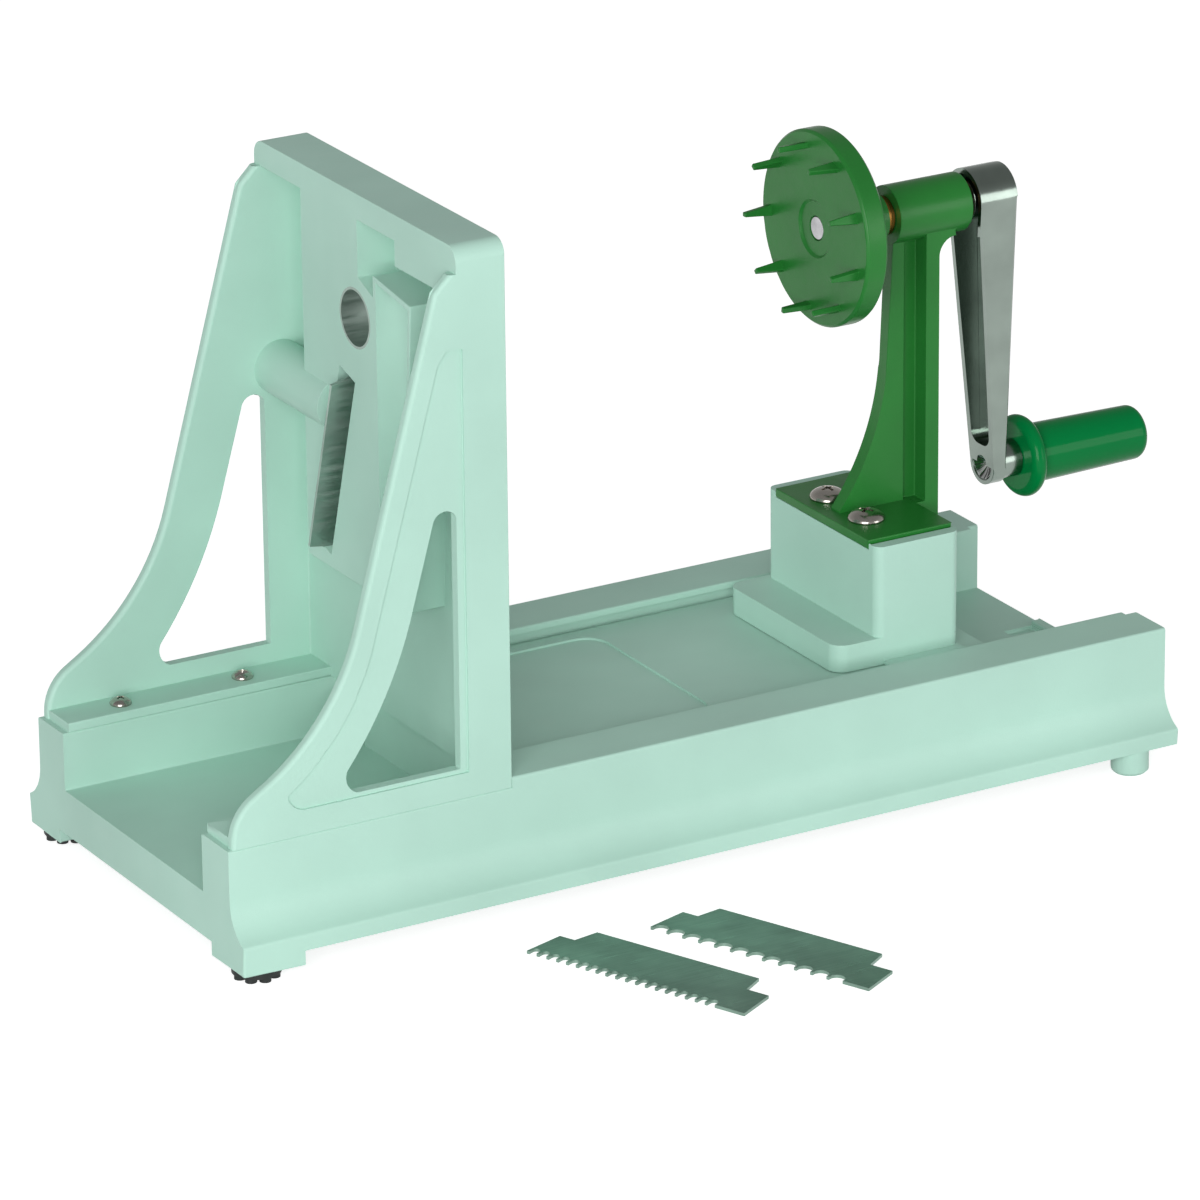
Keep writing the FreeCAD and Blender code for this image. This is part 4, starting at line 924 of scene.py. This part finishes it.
@dataclass
class Carriage(SubAssembly):
    """The sliding carriage, crank bracket, screws and bushes.  Sizes in millimetres."""

    rim: float = 0.8
    edge: float = 0.5
    block_top: float = 76.0
    screw: PanScrew = PanScrew(head=5.9 * MM, dome=3.4 * MM, shank=2.3 * MM,
                               length=10.0 * MM, turn=0.55)
    screw_x: float = 71.8
    screw_y: Span = (34.55, 57.15)
    seat: float = 79.5

    def carriage_rule(self, edge: Edge) -> float:
        """Softer round the top of the block."""
        return self.rim if edge.high.z > self.block_top else self.edge

    def build(self) -> None:
        """Cast the carriage and bracket and set their screws."""
        carriage = Casting("carriage", "carriage_moulding")
        carriage.round_edges(self.carriage_rule)
        carriage.finish(MINT.material(), "mint_plastic", "slider")
        bracket = Casting("crank_bracket", "bracket_moulding")
        bracket.round_edges(lambda edge: self.edge)
        bracket.finish(LEAF_GREEN.material(), "green_plastic", "slider")
        near, far = (Vector((self.screw_x, y, self.seat)) * MM for y in self.screw_y)
        self.screw.set_out({"bracket_screw_near": near, "bracket_screw_far": far},
                           BRIGHT_STEEL.material(), "bright_steel", "slider",
                           "bracket_screws")
        self.dress_nodes({"front_bush": BRASS.material(), "rear_bush": BRASS.material()})


@dataclass
class Crank(SubAssembly):
    """Everything that turns: shaft, holder, arm, axle and knob.  Sizes in millimetres.

    The arm's shoulders grow from the foot up to their full width.  Its edges stay sharp
    round the lower end of the channel, at the foot's back and round the shaft's hole.
    """

    rim: float = 0.35
    holder_edge: float = 0.3
    back: float = 126.3
    shoulder: Span = (0.5, 2.5)
    shoulder_height: Span = (88.0, 100.0)
    foot_top: float = 93.0
    hub: float = 7.0
    channel_end: float = 3.6
    deeper: float = 2.0
    level: float = 0.5
    web_back: float = 125.0
    channel: Zone = Zone((110.0, 135.0), (-1.0, 5.3), (90.5, 92.0))
    sharp: Zone = Zone((110.0, 135.0), (-1.0, 5.3), (88.0, 95.4))
    step: Zone = Zone((110.0, 123.0), ANY, (90.0, 92.0))
    axle_steps: tuple[Span, ...] = ((122.08, 5.0), (122.17, 5.09), (124.38, 2.8),
                                    (171.4, 2.8), (172.0, 2.2))
    axle_mouth: tuple[Span, ...] = ((122.12, 4.86), (122.6, 4.3), (123.15, 3.55),
                                    (123.7, 2.5), (124.1, 1.5), (124.35, 0.5))

    def channel_rule(self, edge: Edge) -> float:
        """Round in the two corners of the channel's lower end."""
        deep = edge.size.x > self.deeper and edge.size.z < self.level
        return self.channel_end if deep and self.channel.holds(edge) else 0.0

    def arm_rule(self, edge: Edge) -> float:
        """Broad shoulders at the arm's back, thin soft rims in front."""
        if self.sharp.holds(edge) and edge.low.x < self.web_back:
            return 0.0
        if self.step.holds(edge) and edge.high.x < self.step.length[1]:
            return 0.0
        if edge.low.x <= self.back:
            return self.rim
        from_shaft = math.hypot(edge.side, edge.middle.z - CRANK_HEIGHT)
        if edge.middle.z < self.foot_top or from_shaft < self.hub:
            return 0.0
        low, high = self.shoulder_height
        rise = min(1.0, max(0.0, (edge.middle.z - low) / (high - low)))
        return self.shoulder[0] + (self.shoulder[1] - self.shoulder[0]) * rise

    def axle(self) -> None:
        """Turn the knob's axle and spread its end to a hollow cone in the arm's foot."""
        seat = Vector((0.0, MIDDLE, KNOB_HEIGHT)) * MM
        steps = [(x * MM, radius * MM) for x, radius in self.axle_steps]
        rivet = Turning("axle_rivet", seat, Axis.X, steps, sides=64)
        rivet.hollow([(x * MM, radius * MM) for x, radius in self.axle_mouth])
        rivet.finish(AXLE_STEEL.material(), "bright_steel", "crank", "knob_axle")

    def build(self) -> None:
        """Cast the arm and holder, turn the axle and dress the rest."""
        arm = Casting("crank_arm", "arm_casting")
        arm.round_edges(self.channel_rule, segments=5)
        arm.round_edges(self.arm_rule)
        arm.finish(ARM_CHROME.material(), "cast_chrome", "crank")
        holder = Casting("food_holder", "holder_moulding")
        holder.round_edges(lambda edge: self.holder_edge)
        holder.finish(LEAF_GREEN.material(), "green_plastic", "crank")
        self.axle()
        self.dress_nodes({"crank_shaft": SHAFT_STEEL.material(),
                          "holder_collar": BRASS.material(),
                          "knob": GRIP_GREEN.material()})


@dataclass
class SpareBlades(SubAssembly):
    """The two comb blades that lie beside the machine."""

    def build(self) -> None:
        """Dress the spare blades."""
        steel = SPARE_STEEL.material()
        self.dress_nodes({"spare_comb_fine": steel, "spare_comb_coarse": steel})


# ---------------------------------------------------------------- stage
@dataclass(frozen=True)
class Lamp:
    """A square soft lamp that faces the machine, in metres and watts."""

    name: str
    stand: Triple
    size: float
    power: float
    aim: Triple = (0.0, 0.04, 0.1)

    def hang(self) -> None:
        """Hang the lamp and turn it to the machine."""
        data = bpy.data.lights.new(self.name, "AREA")
        data.shape, data.size, data.energy = "SQUARE", self.size, self.power
        lamp = bpy.data.objects.new(self.name, data)
        turn = (Vector(self.stand) - Vector(self.aim)).to_track_quat("Z", "Y")
        lamp.matrix_world = Matrix.Translation(self.stand) @ turn.to_matrix().to_4x4()
        bpy.context.scene.collection.objects.link(lamp)


@dataclass
class Stage:
    """Floor, light and camera, in metres."""

    camera_place: Triple = (-1.12741, -1.87650, 0.92097)
    camera_right: Triple = (0.86420789, -0.50304965, -0.00926127)
    camera_up: Triple = (0.18813377, 0.30602068, 0.93325078)
    lens: float = 232.08
    floor_size: float = 40.0
    floor_grey: float = 0.62
    floor_white: float = 0.8
    horizon: float = 0.86
    overhead: float = 0.45
    overhead_from: float = 0.75
    sky_strength: float = 0.62
    lamps: tuple[Lamp, ...] = (Lamp("key", (-1.55, -1.95, 0.75), 1.5, 47.0),
                               Lamp("side", (1.6, -2.2, 0.6), 1.2, 13.0))

    def camera(self) -> None:
        """Stand the camera where it sees the machine from the near side and front."""
        data = bpy.data.cameras.new("camera")
        data.lens, data.sensor_width = self.lens, 36.0
        data.clip_start, data.clip_end = 0.05, 200.0
        right, up = Vector(self.camera_right), Vector(self.camera_up)
        turn = Matrix((right, up, right.cross(up))).transposed().to_4x4()
        camera = bpy.data.objects.new("camera", data)
        camera.matrix_world = Matrix.Translation(self.camera_place) @ turn
        bpy.context.scene.collection.objects.link(camera)
        bpy.context.scene.camera = camera

    def floor(self) -> None:
        """Lay a floor that looks white and keeps the object's shadow."""
        bpy.ops.object.select_all(action="DESELECT")
        bpy.ops.mesh.primitive_plane_add(size=self.floor_size, location=(0.0, 0.0, 0.0))
        plane = bpy.context.active_object
        plane.name = "floor"
        shader = Shader("floor_white")
        shader.tree.nodes.remove(shader.surface)
        diffuse, glow = shader.add("BsdfDiffuse"), shader.add("Emission")
        diffuse.inputs["Color"].default_value = (*(self.floor_grey,) * 3, 1.0)
        glow.inputs["Color"].default_value = (1.0, 1.0, 1.0, 1.0)
        path = shader.add("LightPath")
        seen = path.outputs["Is Camera Ray"]
        for ray in ("Is Glossy Ray", "Is Transmission Ray"):
            either = shader.add("Math", operation="MAXIMUM")
            shader.join(seen, either.inputs[0])
            shader.join(path.outputs[ray], either.inputs[1])
            seen = either.outputs[0]
        strength = shader.add("Math", operation="MULTIPLY")
        strength.inputs[1].default_value = self.floor_white
        shader.join(seen, strength.inputs[0])
        shader.join(strength.outputs[0], glow.inputs["Strength"])
        both = shader.add("AddShader")
        shader.join(diffuse.outputs[0], both.inputs[0])
        shader.join(glow.outputs[0], both.inputs[1])
        shader.join(both.outputs[0], shader.output.inputs["Surface"])
        plane.data.materials.append(shader.material)

    def sky(self) -> None:
        """Light the room softly: pale at the horizon, darker overhead."""
        world = bpy.data.worlds.new("room")
        bpy.context.scene.world = world
        world.use_nodes = True
        tree = world.node_tree
        tree.nodes.clear()
        output = tree.nodes.new("ShaderNodeOutputWorld")
        light = tree.nodes.new("ShaderNodeBackground")
        coordinates = tree.nodes.new("ShaderNodeTexCoord")
        split = tree.nodes.new("ShaderNodeSeparateXYZ")
        ramp = tree.nodes.new("ShaderNodeValToRGB")
        stops = ((0.0, self.horizon), (self.overhead_from, self.overhead))
        for stop, (height, grey) in zip(ramp.color_ramp.elements, stops):
            stop.position, stop.color = height, (grey, grey, grey, 1.0)
        tree.links.new(coordinates.outputs["Generated"], split.inputs[0])
        tree.links.new(split.outputs["Z"], ramp.inputs[0])
        tree.links.new(ramp.outputs["Color"], light.inputs["Color"])
        tree.links.new(light.outputs[0], output.inputs["Surface"])
        light.inputs["Strength"].default_value = self.sky_strength

    def build(self) -> None:
        """Set up the stage."""
        self.floor()
        self.sky()
        for lamp in self.lamps:
            lamp.hang()
        self.camera()
        bpy.context.scene.view_settings.view_transform = "Standard"


def main() -> None:
    """Build the sub-assemblies and the stage in order."""
    logging.basicConfig(level=logging.INFO, format="%(name)s: %(message)s")
    for part in (BaseTray(), BladeTower(), Carriage(), Crank(), SpareBlades(), Stage()):
        part.build()
        LOG.info("built %s", type(part).__name__)


if __name__ == "__main__":
    main()
